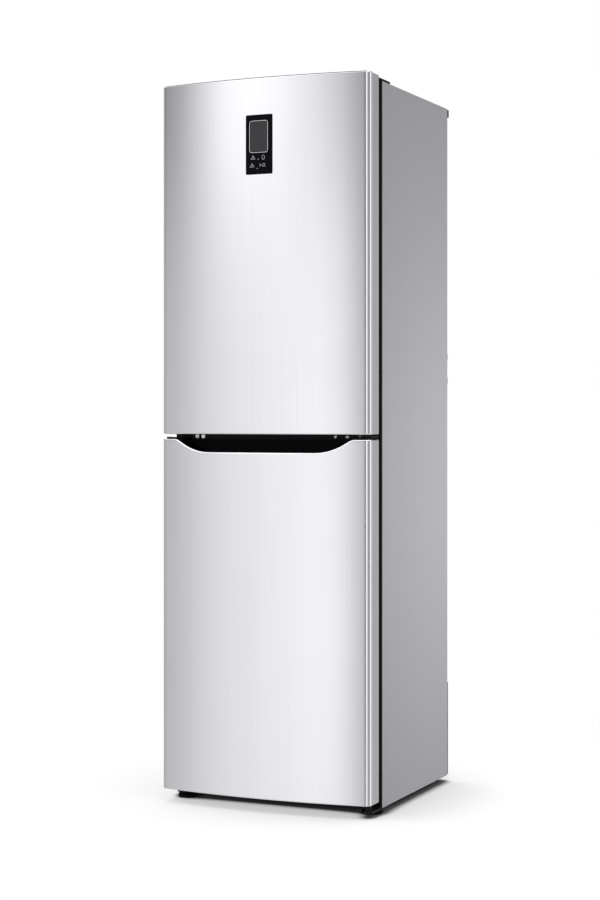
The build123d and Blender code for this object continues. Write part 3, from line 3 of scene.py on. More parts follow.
import json
import logging
import math
from dataclasses import dataclass, field
from enum import Enum
from typing import Any, ClassVar, Iterable, Sequence

import bmesh
import bpy
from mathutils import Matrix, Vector


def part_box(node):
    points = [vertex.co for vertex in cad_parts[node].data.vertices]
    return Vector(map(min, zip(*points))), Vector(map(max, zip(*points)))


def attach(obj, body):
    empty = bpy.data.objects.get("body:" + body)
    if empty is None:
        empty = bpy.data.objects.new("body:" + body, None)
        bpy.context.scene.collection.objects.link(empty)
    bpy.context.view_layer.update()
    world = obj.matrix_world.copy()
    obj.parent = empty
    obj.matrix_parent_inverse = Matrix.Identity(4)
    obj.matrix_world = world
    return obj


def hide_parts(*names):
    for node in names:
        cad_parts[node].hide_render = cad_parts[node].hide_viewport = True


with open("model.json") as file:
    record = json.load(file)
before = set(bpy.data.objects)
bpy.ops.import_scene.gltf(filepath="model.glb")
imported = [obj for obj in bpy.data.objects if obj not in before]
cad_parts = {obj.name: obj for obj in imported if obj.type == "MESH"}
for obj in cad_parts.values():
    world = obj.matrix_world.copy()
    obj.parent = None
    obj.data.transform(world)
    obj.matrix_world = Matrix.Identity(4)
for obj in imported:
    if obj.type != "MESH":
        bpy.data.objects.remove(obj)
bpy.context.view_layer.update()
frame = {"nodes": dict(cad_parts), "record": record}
LOG = logging.getLogger("refrigerator")
MM = 0.001
QUARTER = math.pi / 2
WELD = 0.001 * MM
CREASE = math.radians(40)
DOOR_BULGE = 26 * MM

Colour = tuple[float, float, float]
Flat = tuple[float, float]
Point = tuple[float, float, float]
Node = bpy.types.Node
Socket = bpy.types.NodeSocket
Tree = bpy.types.NodeTree


# Shader helpers


class Graph:
    """Adds and joins nodes in one shader tree."""

    def __init__(self, tree: Tree) -> None:
        """Keep the tree that the nodes go into."""
        self.tree = tree

    def add(self, kind: str, inputs: dict[Any, Any] | None = None, **settings: Any) -> Node:
        """Add one node.

        Args:
            kind: Blender's name of the node type, without ShaderNode at its start.
            inputs: Values or sockets for the node's inputs, by name or index.
            settings: Values for the node's own properties.

        Returns:
            The new node.
        """
        made = self.tree.nodes.new("ShaderNode" + kind)
        for key, value in settings.items():
            setattr(made, key, value)
        for key, value in (inputs or {}).items():
            if isinstance(value, Socket):
                self.tree.links.new(value, made.inputs[key])
            else:
                made.inputs[key].default_value = value
        return made

    def link(self, source: Socket, target: Socket) -> None:
        """Join an output to an input."""
        self.tree.links.new(source, target)

    def object_place(self) -> Socket:
        """Where a point lies on its own object."""
        return self.add("TexCoord").outputs["Object"]

    def math(self, operation: str, a: Any, b: Any = 0.0) -> Socket:
        """One arithmetic step on two values or sockets."""
        return self.add("Math", {0: a, 1: b}, operation=operation).outputs[0]

    def scaled(self, value: Any, factor: Any) -> Socket:
        """Product of two values or sockets."""
        return self.math("MULTIPLY", value, factor)

    def remap(self, value: Any, old: Flat, new: Flat) -> Socket:
        """Carry a value smoothly from one range to another.

        Args:
            value: The socket to carry over.
            old: Its range.
            new: The range to give it.

        Returns:
            The result socket.
        """
        inputs = {0: value, 1: old[0], 2: old[1], 3: new[0], 4: new[1]}
        return self.add("MapRange", inputs, interpolation_type="SMOOTHSTEP").outputs[0]

    def noise(self, place: Any, scale: Any, detail: float = 2.0, bend: float = 0.0) -> Socket:
        """Fractal noise.

        Args:
            place: Where to read it.
            scale: Features per metre.
            detail: Number of finer octaves.
            bend: How far it is distorted.

        Returns:
            The value socket, about 0.5 on average.
        """
        inputs = {"Vector": place, "Scale": scale, "Detail": detail, "Distortion": bend}
        return self.add("TexNoise", inputs).outputs[0]

    def blend(self, factor: Any, a: Any, b: Any) -> Socket:
        """Mix two colours.

        Args:
            factor: Share of the second colour.
            a: First colour or socket.
            b: Second colour or socket.

        Returns:
            The mixed colour socket.
        """
        first, second = [(*c, 1.0) if isinstance(c, tuple) else c for c in (a, b)]
        inputs = {0: factor, 6: first, 7: second}
        return self.add("Mix", inputs, data_type="RGBA").outputs[2]

    def level(self, factor: Any, a: Any, b: Any) -> Socket:
        """Mix two values, with the factor as the share of the second."""
        return self.add("Mix", {0: factor, 2: a, 3: b}, data_type="FLOAT").outputs[0]

    def ramp(self, value: Any, stops: Sequence[Flat]) -> Socket:
        """A grey level that follows a few stops.

        Args:
            value: Position along the ramp, from 0 to 1.
            stops: Pairs of position and grey level.

        Returns:
            The colour socket.
        """
        node = self.add("ValToRGB", {0: value})
        elements = node.color_ramp.elements
        node.color_ramp.interpolation = "EASE"
        while len(elements) < len(stops):
            elements.new(0.5)
        for element, (position, level) in zip(elements, stops):
            element.position = position
            element.color = (level, level, level, 1.0)
        return node.outputs[0]


class SharedEffect(Enum):
    """Surface effects that several finishes use, each one shader node group."""

    BRUSH_GRAIN = "brush_grain"
    MOULD_TEXTURE = "mould_texture"
    HANDLING = "handling_marks"
    SOFT_EDGE = "soft_edge"
    DUST = "settled_dust"

    def tree(self) -> Tree:
        """The node group of this effect, built at its first use.

        Returns:
            The shader node group.
        """
        found = bpy.data.node_groups.get(self.value)
        if found:
            return found
        made = bpy.data.node_groups.new(self.value, "ShaderNodeTree")
        builders = {
            SharedEffect.BRUSH_GRAIN: build_brush_grain,
            SharedEffect.MOULD_TEXTURE: build_mould_texture,
            SharedEffect.HANDLING: build_handling,
            SharedEffect.SOFT_EDGE: build_soft_edge,
            SharedEffect.DUST: build_dust,
        }
        builders[self](made)
        return made

    def place(self, graph: Graph, **inputs: float) -> Node:
        """Put the effect into a material.

        Args:
            graph: The material's tree.
            inputs: Values for the group's inputs.

        Returns:
            The group node.
        """
        node = graph.add("Group", node_tree=self.tree())
        for key, value in inputs.items():
            node.inputs[key].default_value = value
        return node


def open_group(
    tree: Tree, inputs: dict[str, float], outputs: Sequence[str]
) -> tuple[Graph, Any, Any]:
    """Give a node group its sockets.

    Args:
        tree: The new group.
        inputs: Names and usual values of its inputs.
        outputs: Names of its outputs; Normal is a vector and each other one a value.

    Returns:
        The group's graph, the sockets that it is given and those that it puts out.
    """
    for name, value in inputs.items():
        socket = tree.interface.new_socket(name, in_out="INPUT", socket_type="NodeSocketFloat")
        socket.default_value = value
    for name in outputs:
        kind = "NodeSocketVector" if name == "Normal" else "NodeSocketFloat"
        tree.interface.new_socket(name, in_out="OUTPUT", socket_type=kind)
    given = tree.nodes.new("NodeGroupInput")
    out = tree.nodes.new("NodeGroupOutput")
    return Graph(tree), given.outputs, out.inputs


def join_relief(graph: Graph, main: Socket, lesser: Socket) -> Socket:
    """Two reliefs in one, the first a little stronger."""
    return graph.math("ADD", graph.scaled(main, 0.6), graph.scaled(lesser, 0.4))


def about_one(graph: Graph, value: Socket, depth: Socket) -> Socket:
    """A value about 0.5 turned into a shade about 1."""
    return graph.math("ADD", 1.0, graph.scaled(graph.math("SUBTRACT", value, 0.5), depth))


def build_brush_grain(tree: Tree) -> None:
    """Upright brushing lines: Shade is about 1, Height is about 0.5.

    Args:
        tree: The new group.
    """
    graph, given, out = open_group(
        tree, {"Across": 900.0, "Along": 6.0, "Depth": 0.05}, ("Shade", "Height")
    )
    across = given["Across"]
    stretch = graph.add("CombineXYZ", {0: across, 1: across, 2: given["Along"]}).outputs[0]
    inputs = {0: graph.object_place(), 1: stretch}
    lines = graph.add("VectorMath", inputs, operation="MULTIPLY").outputs[0]
    height = join_relief(graph, graph.noise(lines, 1.0, 4.0), graph.noise(lines, 0.12))
    graph.link(about_one(graph, height, given["Depth"]), out["Shade"])
    graph.link(height, out["Height"])


def build_mould_texture(tree: Tree) -> None:
    """Fine pebbled texture of a mould or of sprayed paint.

    Args:
        tree: The new group.
    """
    graph, given, out = open_group(tree, {"Scale": 900.0, "Depth": 0.1}, ("Shade", "Height"))
    place = graph.object_place()
    pebbles = graph.add("TexVoronoi", {"Vector": place, "Scale": given["Scale"]}).outputs[0]
    mottle = graph.noise(place, given["Scale"], 3.0)
    graph.link(about_one(graph, mottle, given["Depth"]), out["Shade"])
    graph.link(join_relief(graph, pebbles, mottle), out["Height"])


def build_handling(tree: Tree) -> None:
    """Broad, faint wipe and finger marks as a roughness between Low and High.

    Args:
        tree: The new group.
    """
    graph, given, out = open_group(tree, {"Scale": 4.0, "Low": 0.3, "High": 0.4}, ("Roughness",))
    cloud = graph.noise(graph.object_place(), given["Scale"], 5.0, bend=0.6)
    spread = graph.math("SUBTRACT", given["High"], given["Low"])
    graph.link(graph.math("ADD", given["Low"], graph.scaled(cloud, spread)), out["Roughness"])


def build_soft_edge(tree: Tree) -> None:
    """Slightly rounded edges: Normal for the shading, Edge for wear along them on plastic and for
    a painted highlight along them on paint.

    Args:
        tree: The new group.
    """
    graph, given, out = open_group(tree, {"Radius": 0.0008}, ("Normal", "Edge"))
    rounded = graph.add("Bevel", {"Radius": given["Radius"]}, samples=4).outputs[0]
    plain = graph.add("NewGeometry").outputs["Normal"]
    inputs = {0: rounded, 1: plain}
    likeness = graph.add("VectorMath", inputs, operation="DOT_PRODUCT").outputs["Value"]
    graph.link(rounded, out["Normal"])
    graph.link(graph.remap(likeness, (0.995, 0.80), (0.0, 1.0)), out["Edge"])


def build_dust(tree: Tree) -> None:
    """Dust that lies on faces turned up, as a mask.

    Args:
        tree: The new group.
    """
    graph, given, out = open_group(tree, {"Amount": 0.3, "Scale": 60.0}, ("Mask",))
    normal = graph.add("NewGeometry").outputs["Normal"]
    up = graph.add("SeparateXYZ", {0: normal}).outputs[2]
    facing = graph.remap(up, (0.2, 0.95), (0.15, 1.0))
    patches = graph.noise(graph.object_place(), given["Scale"], 6.0)
    shown = graph.remap(patches, (0.35, 0.75), (0.0, 1.0))
    graph.link(graph.scaled(graph.scaled(facing, shown), given["Amount"]), out["Mask"])


# Finishes


@dataclass(frozen=True)
class Finish:
    """A surface finish with soft edges; the kinds below add their own detail."""

    name: str
    colour: Colour
    roughness: float = 0.4
    edge_radius: float = 0.0008
    made: ClassVar[dict[str, bpy.types.Material]] = {}

    def material(self) -> bpy.types.Material:
        """The Blender material of this finish, built at its first use.

        Returns:
            The material.
        """
        if self.name not in Finish.made:
            material = bpy.data.materials.new(self.name)
            material.use_nodes = True
            shader = material.node_tree.nodes["Principled BSDF"]
            shader.inputs["Base Color"].default_value = (*self.colour, 1.0)
            shader.inputs["Roughness"].default_value = self.roughness
            self.shade(Graph(material.node_tree), shader)
            Finish.made[self.name] = material
        return Finish.made[self.name]

    def shade(self, graph: Graph, shader: Node) -> None:
        """Add this finish's own nodes; each kind has its own."""
        raise NotImplementedError

    def tint(self, graph: Graph, shade: Socket) -> Socket:
        """The finish's colour made lighter and darker by a value about 1.

        Args:
            graph: The material's tree.
            shade: The value to multiply by.

        Returns:
            The colour socket.
        """
        inputs = {0: self.colour, 1: shade}
        return graph.add("VectorMath", inputs, operation="MULTIPLY").outputs[0]

    def colour_by(self, graph: Graph, shader: Node, shade: Socket) -> None:
        """Feed the tinted colour into the shader."""
        graph.link(self.tint(graph, shade), shader.inputs["Base Color"])

    def wipe(
        self, graph: Graph, shader: Node, scale: float, below: float, above: float
    ) -> None:
        """Feed faint wipe and finger marks into the shader's roughness.

        Args:
            graph: The material's tree.
            shader: The material's shader.
            scale: Marks per metre.
            below: How far they go under the finish's roughness.
            above: How far they go over it.
        """
        low, high = self.roughness - below, self.roughness + above
        marks = SharedEffect.HANDLING.place(graph, Scale=scale, Low=low, High=high)
        graph.link(marks.outputs["Roughness"], shader.inputs["Roughness"])

    def relief(self, graph: Graph, shader: Node, height: Socket, depth: float) -> Node:
        """Feed a bump with soft edges into the shader.

        Args:
            graph: The material's tree.
            shader: The material's shader.
            height: Height of the relief, from 0 to 1.
            depth: Depth of the relief in metres.

        Returns:
            The soft edge group node, for its Edge mask.
        """
        soft = SharedEffect.SOFT_EDGE.place(graph, Radius=self.edge_radius)
        inputs = {"Distance": depth, "Height": height, "Normal": soft.outputs["Normal"]}
        bump = graph.add("Bump", {"Strength": 1.0, **inputs})
        graph.link(bump.outputs[0], shader.inputs["Normal"])
        return soft


@dataclass(frozen=True)
class BrushedMetal(Finish):
    """Metal sheet with fine upright brushing."""

    across: float = 900.0
    along: float = 6.0
    depth: float = 0.05
    groove: float = 0.000006
    smudge: float = 0.05

    def shade(self, graph: Graph, shader: Node) -> None:
        """Brush lines in colour and relief, faint marks in roughness.

        Args:
            graph: The material's tree.
            shader: The material's shader.
        """
        grain = SharedEffect.BRUSH_GRAIN.place(
            graph, Across=self.across, Along=self.along, Depth=self.depth
        )
        shader.inputs["Metallic"].default_value = 1.0
        self.colour_by(graph, shader, grain.outputs["Shade"])
        self.wipe(graph, shader, scale=3.0, below=self.smudge, above=self.smudge)
        self.relief(graph, shader, grain.outputs["Height"], self.groove)


@dataclass(frozen=True)
class SheetPaint(Finish):
    """Baked paint on steel sheet, with a faint peel and a painted highlight along its edges."""

    peel: float = 700.0
    peel_depth: float = 0.00002
    dust: float = 0.12
    edge_highlight_gain: float = 0.25
    edge_highlight_share: float = 0.6
    specular: float = 0.5
    dust_colour: Colour = (0.62, 0.60, 0.57)

    def shade(self, graph: Graph, shader: Node) -> None:
        """Paint peel, dust on the flats and a painted highlight along the edges.

        Args:
            graph: The material's tree.
            shader: The material's shader.
        """
        shader.inputs["Specular IOR Level"].default_value = self.specular
        skin = SharedEffect.MOULD_TEXTURE.place(graph, Scale=self.peel, Depth=0.06)
        dust = SharedEffect.DUST.place(graph, Amount=self.dust, Scale=25.0)
        self.wipe(graph, shader, scale=2.5, below=0.06, above=0.08)
        soft = self.relief(graph, shader, skin.outputs["Height"], self.peel_depth)
        # Paler colour along the edges is a painted highlight.
        pale = tuple(min(1.0, c + self.edge_highlight_gain * (1.0 - c)) for c in self.colour)
        edge = graph.scaled(soft.outputs["Edge"], self.edge_highlight_share)
        painted = graph.blend(edge, self.tint(graph, skin.outputs["Shade"]), pale)
        dusty = graph.blend(dust.outputs["Mask"], painted, self.dust_colour)
        graph.link(dusty, shader.inputs["Base Color"])


@dataclass(frozen=True)
class CabinetPaint(SheetPaint):
    """Cabinet paint with a black band of painted shade and a pale line of painted highlight round
    the front edge.
    """

    front: float = -204 * MM
    # Black band of painted shade, for the shade in the gap beside the door.
    band: float = 8 * MM
    # Pale line of painted highlight along the front edge.
    line: float = 11 * MM
    front_highlight_share: float = 0.5
    front_highlight_colour: Colour = (0.62, 0.62, 0.64)
    gap_shade_colour: Colour = (0.004, 0.004, 0.005)
    gap_shade_dulling: float = 0.5

    def shade(self, graph: Graph, shader: Node) -> None:
        """Sheet paint, then the black band of painted shade and the pale line of painted highlight
        by their distance from the front.

        Args:
            graph: The material's tree.
            shader: The material's shader.
        """
        super().shade(graph, shader)
        base = shader.inputs["Base Color"]
        gloss = shader.inputs["Roughness"]
        back = graph.add("SeparateXYZ", {0: graph.object_place()}).outputs[1]
        depth = graph.math("SUBTRACT", back, self.front)
        # Painted highlight: the pale line near the front edge.
        pale = graph.scaled(graph.math("LESS_THAN", depth, self.line), self.front_highlight_share)
        # Painted shade: the black band at the front edge, beside the door gap.
        dark = graph.math("LESS_THAN", depth, self.band)
        lined = graph.blend(pale, base.links[0].from_socket, self.front_highlight_colour)
        graph.link(graph.blend(dark, lined, self.gap_shade_colour), base)
        dull = graph.scaled(dark, self.gap_shade_dulling)
        graph.link(graph.math("ADD", gloss.links[0].from_socket, dull), gloss)


@dataclass(frozen=True)
class ZincSteel(Finish):
    """Zinc-plated sheet with a spangle of pale and dark crystals."""

    spangle: float = 120.0
    spread: float = 0.08
    shades: Flat = (0.86, 1.10)
    scratch: float = 0.000008

    def shade(self, graph: Graph, shader: Node) -> None:
        """Crystal patches in colour and roughness.

        Args:
            graph: The material's tree.
            shader: The material's shader.
        """
        inputs = {"Vector": graph.object_place(), "Scale": self.spangle}
        cells = graph.add("TexVoronoi", inputs).outputs["Color"]
        level = graph.add("SeparateColor", {0: cells}).outputs[0]
        shader.inputs["Metallic"].default_value = 1.0
        self.colour_by(graph, shader, graph.remap(level, (0.0, 1.0), self.shades))
        gloss = (self.roughness + self.spread, self.roughness - self.spread)
        graph.link(graph.remap(level, (0.0, 1.0), gloss), shader.inputs["Roughness"])
        scratches = SharedEffect.BRUSH_GRAIN.place(graph, Across=300.0, Along=40.0, Depth=0.05)
        self.relief(graph, shader, scratches.outputs["Height"], self.scratch)


@dataclass(frozen=True)
class MouldedPlastic(Finish):
    """Injection-moulded or formed plastic with a fine mould texture."""

    texture: float = 900.0
    texture_depth: float = 0.00003
    dust: float = 0.05
    specular: float = 0.5
    wear_gain: float = 0.10
    wear_share: float = 0.3
    dust_colour: Colour = (0.60, 0.58, 0.55)

    def shade(self, graph: Graph, shader: Node) -> None:
        """Mould texture, dust and worn edges.

        Args:
            graph: The material's tree.
            shader: The material's shader.
        """
        shader.inputs["Specular IOR Level"].default_value = self.specular
        skin = SharedEffect.MOULD_TEXTURE.place(graph, Scale=self.texture, Depth=0.12)
        dust = SharedEffect.DUST.place(graph, Amount=self.dust, Scale=45.0)
        self.wipe(graph, shader, scale=6.0, below=0.08, above=0.10)
        soft = self.relief(graph, shader, skin.outputs["Height"], self.texture_depth)
        worn = tuple(c + self.wear_gain * (1.0 - c) for c in self.colour)
        edge = graph.scaled(soft.outputs["Edge"], self.wear_share)
        body = graph.blend(edge, self.tint(graph, skin.outputs["Shade"]), worn)
        dusty = graph.blend(dust.outputs["Mask"], body, self.dust_colour)
        graph.link(dusty, shader.inputs["Base Color"])


@dataclass(frozen=True)
class SealRubber(Finish):
    """Soft sealing rubber with a dry bloom."""

    bloom_colour: Colour = (0.45, 0.45, 0.45)
    sheen: float = 0.1
    pore_depth: float = 0.00003

    def shade(self, graph: Graph, shader: Node) -> None:
        """Fine pores and a pale bloom in patches.

        Args:
            graph: The material's tree.
            shader: The material's shader.
        """
        pores = SharedEffect.MOULD_TEXTURE.place(graph, Scale=1500.0, Depth=0.2)
        bloom = SharedEffect.DUST.place(graph, Amount=0.10, Scale=80.0)
        body = self.tint(graph, pores.outputs["Shade"])
        dry = graph.blend(bloom.outputs["Mask"], body, self.bloom_colour)
        graph.link(dry, shader.inputs["Base Color"])
        self.wipe(graph, shader, scale=20.0, below=0.08, above=0.1)
        shader.inputs["Sheen Weight"].default_value = self.sheen
        self.relief(graph, shader, pores.outputs["Height"], self.pore_depth)


@dataclass(frozen=True)
class InsulationFoam(Finish):
    """Rigid blown foam with open cells."""

    cell_depth: float = 0.0006

    def shade(self, graph: Graph, shader: Node) -> None:
        """Cells in colour and relief.

        Args:
            graph: The material's tree.
            shader: The material's shader.
        """
        cells = SharedEffect.MOULD_TEXTURE.place(graph, Scale=420.0, Depth=0.35)
        self.colour_by(graph, shader, cells.outputs["Shade"])
        self.relief(graph, shader, cells.outputs["Height"], self.cell_depth)


@dataclass(frozen=True)
class PlateGlass(Finish):
    """Toughened shelf glass, a little green."""

    wave_depth: float = 0.00002

    def shade(self, graph: Graph, shader: Node) -> None:
        """Clear glass with faint wipe marks.

        Args:
            graph: The material's tree.
            shader: The material's shader.
        """
        shader.inputs["Transmission Weight"].default_value = 1.0
        shader.inputs["IOR"].default_value = 1.5
        self.wipe(graph, shader, scale=9.0, below=self.roughness, above=0.0)
        waves = SharedEffect.MOULD_TEXTURE.place(graph, Scale=12.0, Depth=0.03)
        self.colour_by(graph, shader, waves.outputs["Shade"])
        self.relief(graph, shader, waves.outputs["Height"], self.wave_depth)


@dataclass(frozen=True)
class ClearMoulding(Finish):
    """Clear moulded plastic of the drawers and baskets, faintly scratched."""

    scratch: float = 0.000015

    def shade(self, graph: Graph, shader: Node) -> None:
        """Tinted clear plastic with mould haze and fine scratches.

        Args:
            graph: The material's tree.
            shader: The material's shader.
        """
        shader.inputs["Transmission Weight"].default_value = 0.88
        shader.inputs["IOR"].default_value = 1.49
        self.wipe(graph, shader, scale=12.0, below=0.0, above=0.12)
        scratches = SharedEffect.BRUSH_GRAIN.place(graph, Across=260.0, Along=25.0, Depth=0.05)
        self.colour_by(graph, shader, scratches.outputs["Shade"])
        self.relief(graph, shader, scratches.outputs["Height"], self.scratch)


@dataclass(frozen=True)
class DarkGlass(Finish):
    """Glossy black front glass with faint finger marks."""

    specular: float = 0.06
    speck_depth: float = 0.000001

    def shade(self, graph: Graph, shader: Node) -> None:
        """Deep black with fine specks and wiped marks in roughness.

        Args:
            graph: The material's tree.
            shader: The material's shader.
        """
        self.wipe(graph, shader, scale=30.0, below=0.0, above=0.10)
        speck = SharedEffect.MOULD_TEXTURE.place(graph, Scale=400.0, Depth=0.25)
        self.colour_by(graph, shader, speck.outputs["Shade"])
        shader.inputs["Specular IOR Level"].default_value = self.specular
        self.relief(graph, shader, speck.outputs["Height"], self.speck_depth)


@dataclass(frozen=True)
class ScreenPrint(Finish):
    """Printed or lit line on the display, with the grain of screen ink."""

    glow: float = 0.0

    def shade(self, graph: Graph, shader: Node) -> None:
        """Ink grain in colour, and a faint glow.

        Args:
            graph: The material's tree.
            shader: The material's shader.
        """
        ink = SharedEffect.MOULD_TEXTURE.place(graph, Scale=1800.0, Depth=0.12)
        colour = self.tint(graph, ink.outputs["Shade"])
        graph.link(colour, shader.inputs["Base Color"])
        graph.link(colour, shader.inputs["Emission Color"])
        shader.inputs["Emission Strength"].default_value = self.glow
        self.wipe(graph, shader, scale=30.0, below=0.0, above=0.1)


@dataclass(frozen=True)
class OpalDiffuser(Finish):
    """Milky lamp diffuser with fine prisms."""

    prisms: float = 60.0
    prism_depth: float = 0.0004
    milk: float = 0.3
    milk_reach: Point = (0.01, 0.01, 0.01)

    def shade(self, graph: Graph, shader: Node) -> None:
        """Prisms in relief on a milky body.

        Args:
            graph: The material's tree.
            shader: The material's shader.
        """
        inputs = {"Vector": graph.object_place(), "Scale": self.prisms, "Distortion": 0.0}
        prisms = graph.add("TexWave", inputs, wave_type="BANDS")
        skin = SharedEffect.MOULD_TEXTURE.place(graph, Scale=500.0, Depth=0.05)
        self.colour_by(graph, shader, skin.outputs["Shade"])
        shader.inputs["Subsurface Weight"].default_value = self.milk
        shader.inputs["Subsurface Radius"].default_value = self.milk_reach
        self.relief(graph, shader, prisms.outputs[1], self.prism_depth)


class Surfaces:
    """Every finish on the refrigerator."""

    DOOR_STEEL = BrushedMetal("door_steel", (0.742, 0.737, 0.768), 0.20, depth=0.10, smudge=0.03)
    CABINET_GREY = CabinetPaint(
        "cabinet_grey", (0.39, 0.385, 0.412), 0.42, edge_radius=0.0015, edge_highlight_gain=0.4
    )
    REAR_SHEET = SheetPaint("rear_sheet_grey", (0.45, 0.45, 0.46), 0.48, peel=450.0)
    LINER_WHITE = MouldedPlastic(
        "liner_white", (0.86, 0.87, 0.88), 0.30, texture=260.0, dust=0.0
    )
    FOAM = InsulationFoam("insulation_foam", (0.85, 0.79, 0.62), 0.9)
    ZINC = ZincSteel("zinc_steel", (0.62, 0.62, 0.63), 0.38)
    BLACK_STEEL = SheetPaint(
        "black_steel", (0.006, 0.006, 0.007), 0.50, dust=0.01, edge_highlight_gain=0.04, specular=0.14
    )
    BLACK_PLASTIC = MouldedPlastic(
        "black_plastic", (0.006, 0.006, 0.007), 0.50, dust=0.01, specular=0.18
    )
    # Black of the sheets of painted shade in the door gap.
    GAP_SHADE_BLACK = MouldedPlastic(
        "gap_shade_black", (0.004, 0.004, 0.005), 0.65, dust=0.0, specular=0.1
    )
    GRIP_BLACK = MouldedPlastic(
        "grip_black", (0.0025, 0.0025, 0.003), 0.62, dust=0.0, specular=0.04
    )
    PLUG_WHITE = MouldedPlastic("plug_white", (0.90, 0.90, 0.90), 0.35, dust=0.0)
    SCREW_ZINC = ZincSteel("screw_zinc", (0.84, 0.84, 0.84), 0.20, spangle=900.0)
    DARK_COVER = MouldedPlastic("dark_cover", (0.075, 0.075, 0.08), 0.52, dust=0.05)
    SEAL = SealRubber("seal_rubber", (0.02, 0.02, 0.022), 0.62)
    DISPLAY_BLACK = DarkGlass("display_black", (0.003, 0.003, 0.004), 0.08, specular=0.03)
    SCREEN = DarkGlass("display_screen", (0.046, 0.046, 0.050), 0.25)
    SCREEN_LINE = ScreenPrint("display_line", (0.62, 0.63, 0.65), 0.35, glow=0.10)
    KEY_PRINT = ScreenPrint("key_print", (0.50, 0.50, 0.53), 0.40, glow=0.20)
    SHELF_GLASS = PlateGlass("shelf_glass", (0.90, 0.97, 0.95), 0.06)
    SHELF_TRIM = BrushedMetal(
        "shelf_trim", (0.72, 0.73, 0.75), 0.32, across=500.0, along=500.0
    )
    CLEAR_PLASTIC = ClearMoulding("clear_plastic", (0.90, 0.95, 0.98), 0.05)
    WHITE_PLASTIC = MouldedPlastic("white_plastic", (0.80, 0.80, 0.78), 0.40)
    LAMP = OpalDiffuser("lamp_diffuser", (0.93, 0.93, 0.91), 0.35)
    FIN_STOCK = ZincSteel("fin_stock", (0.72, 0.73, 0.75), 0.34, spangle=300.0)

    BY_SLOT: ClassVar[dict[str, Finish]] = {
        "steel_door": DOOR_STEEL,
        "grey_cabinet": CABINET_GREY,
        "rear_sheet": REAR_SHEET,
        "white_liner": LINER_WHITE,
        "foam": FOAM,
        "plain_steel": ZINC,
        "black_steel": BLACK_STEEL,
        "black_plastic": BLACK_PLASTIC,
        "dark_cover": DARK_COVER,
        "black_rubber": SEAL,
        "display_black": DISPLAY_BLACK,
        "shelf_glass": SHELF_GLASS,
        "shelf_trim": SHELF_TRIM,
        "clear_plastic": CLEAR_PLASTIC,
        "white_plastic": WHITE_PLASTIC,
        "lamp_diffuser": LAMP,
        "evaporator_metal": FIN_STOCK,
    }
    BY_NODE: ClassVar[dict[str, Finish]] = {
        "freezer_door_handle_cap": GRIP_BLACK,
        "fridge_door_bottom_cap": GRIP_BLACK,
        "hinge_cover": GRIP_BLACK,
        "rear_spacers": GRIP_BLACK,
        "foot_left": GRIP_BLACK,
        "foot_right": GRIP_BLACK,
        "hole_plugs": PLUG_WHITE,
        "screws": SCREW_ZINC,
        "top_hinge": BLACK_STEEL,
        "base_pan": BLACK_STEEL,
        "compressor_base": BLACK_STEEL,
    }


def dress_nodes() -> None:
    """Give every solid of the frame its own finish, or else that of its material slot."""
    for part in frame["record"]["subparts"]:
        node = frame["nodes"][part["node"]]
        by_slot = Surfaces.BY_SLOT[part["material_slot"]]
        finish = Surfaces.BY_NODE.get(part["node"], by_slot)
        node.data.materials.clear()
        node.data.materials.append(finish.material())


# Meshes


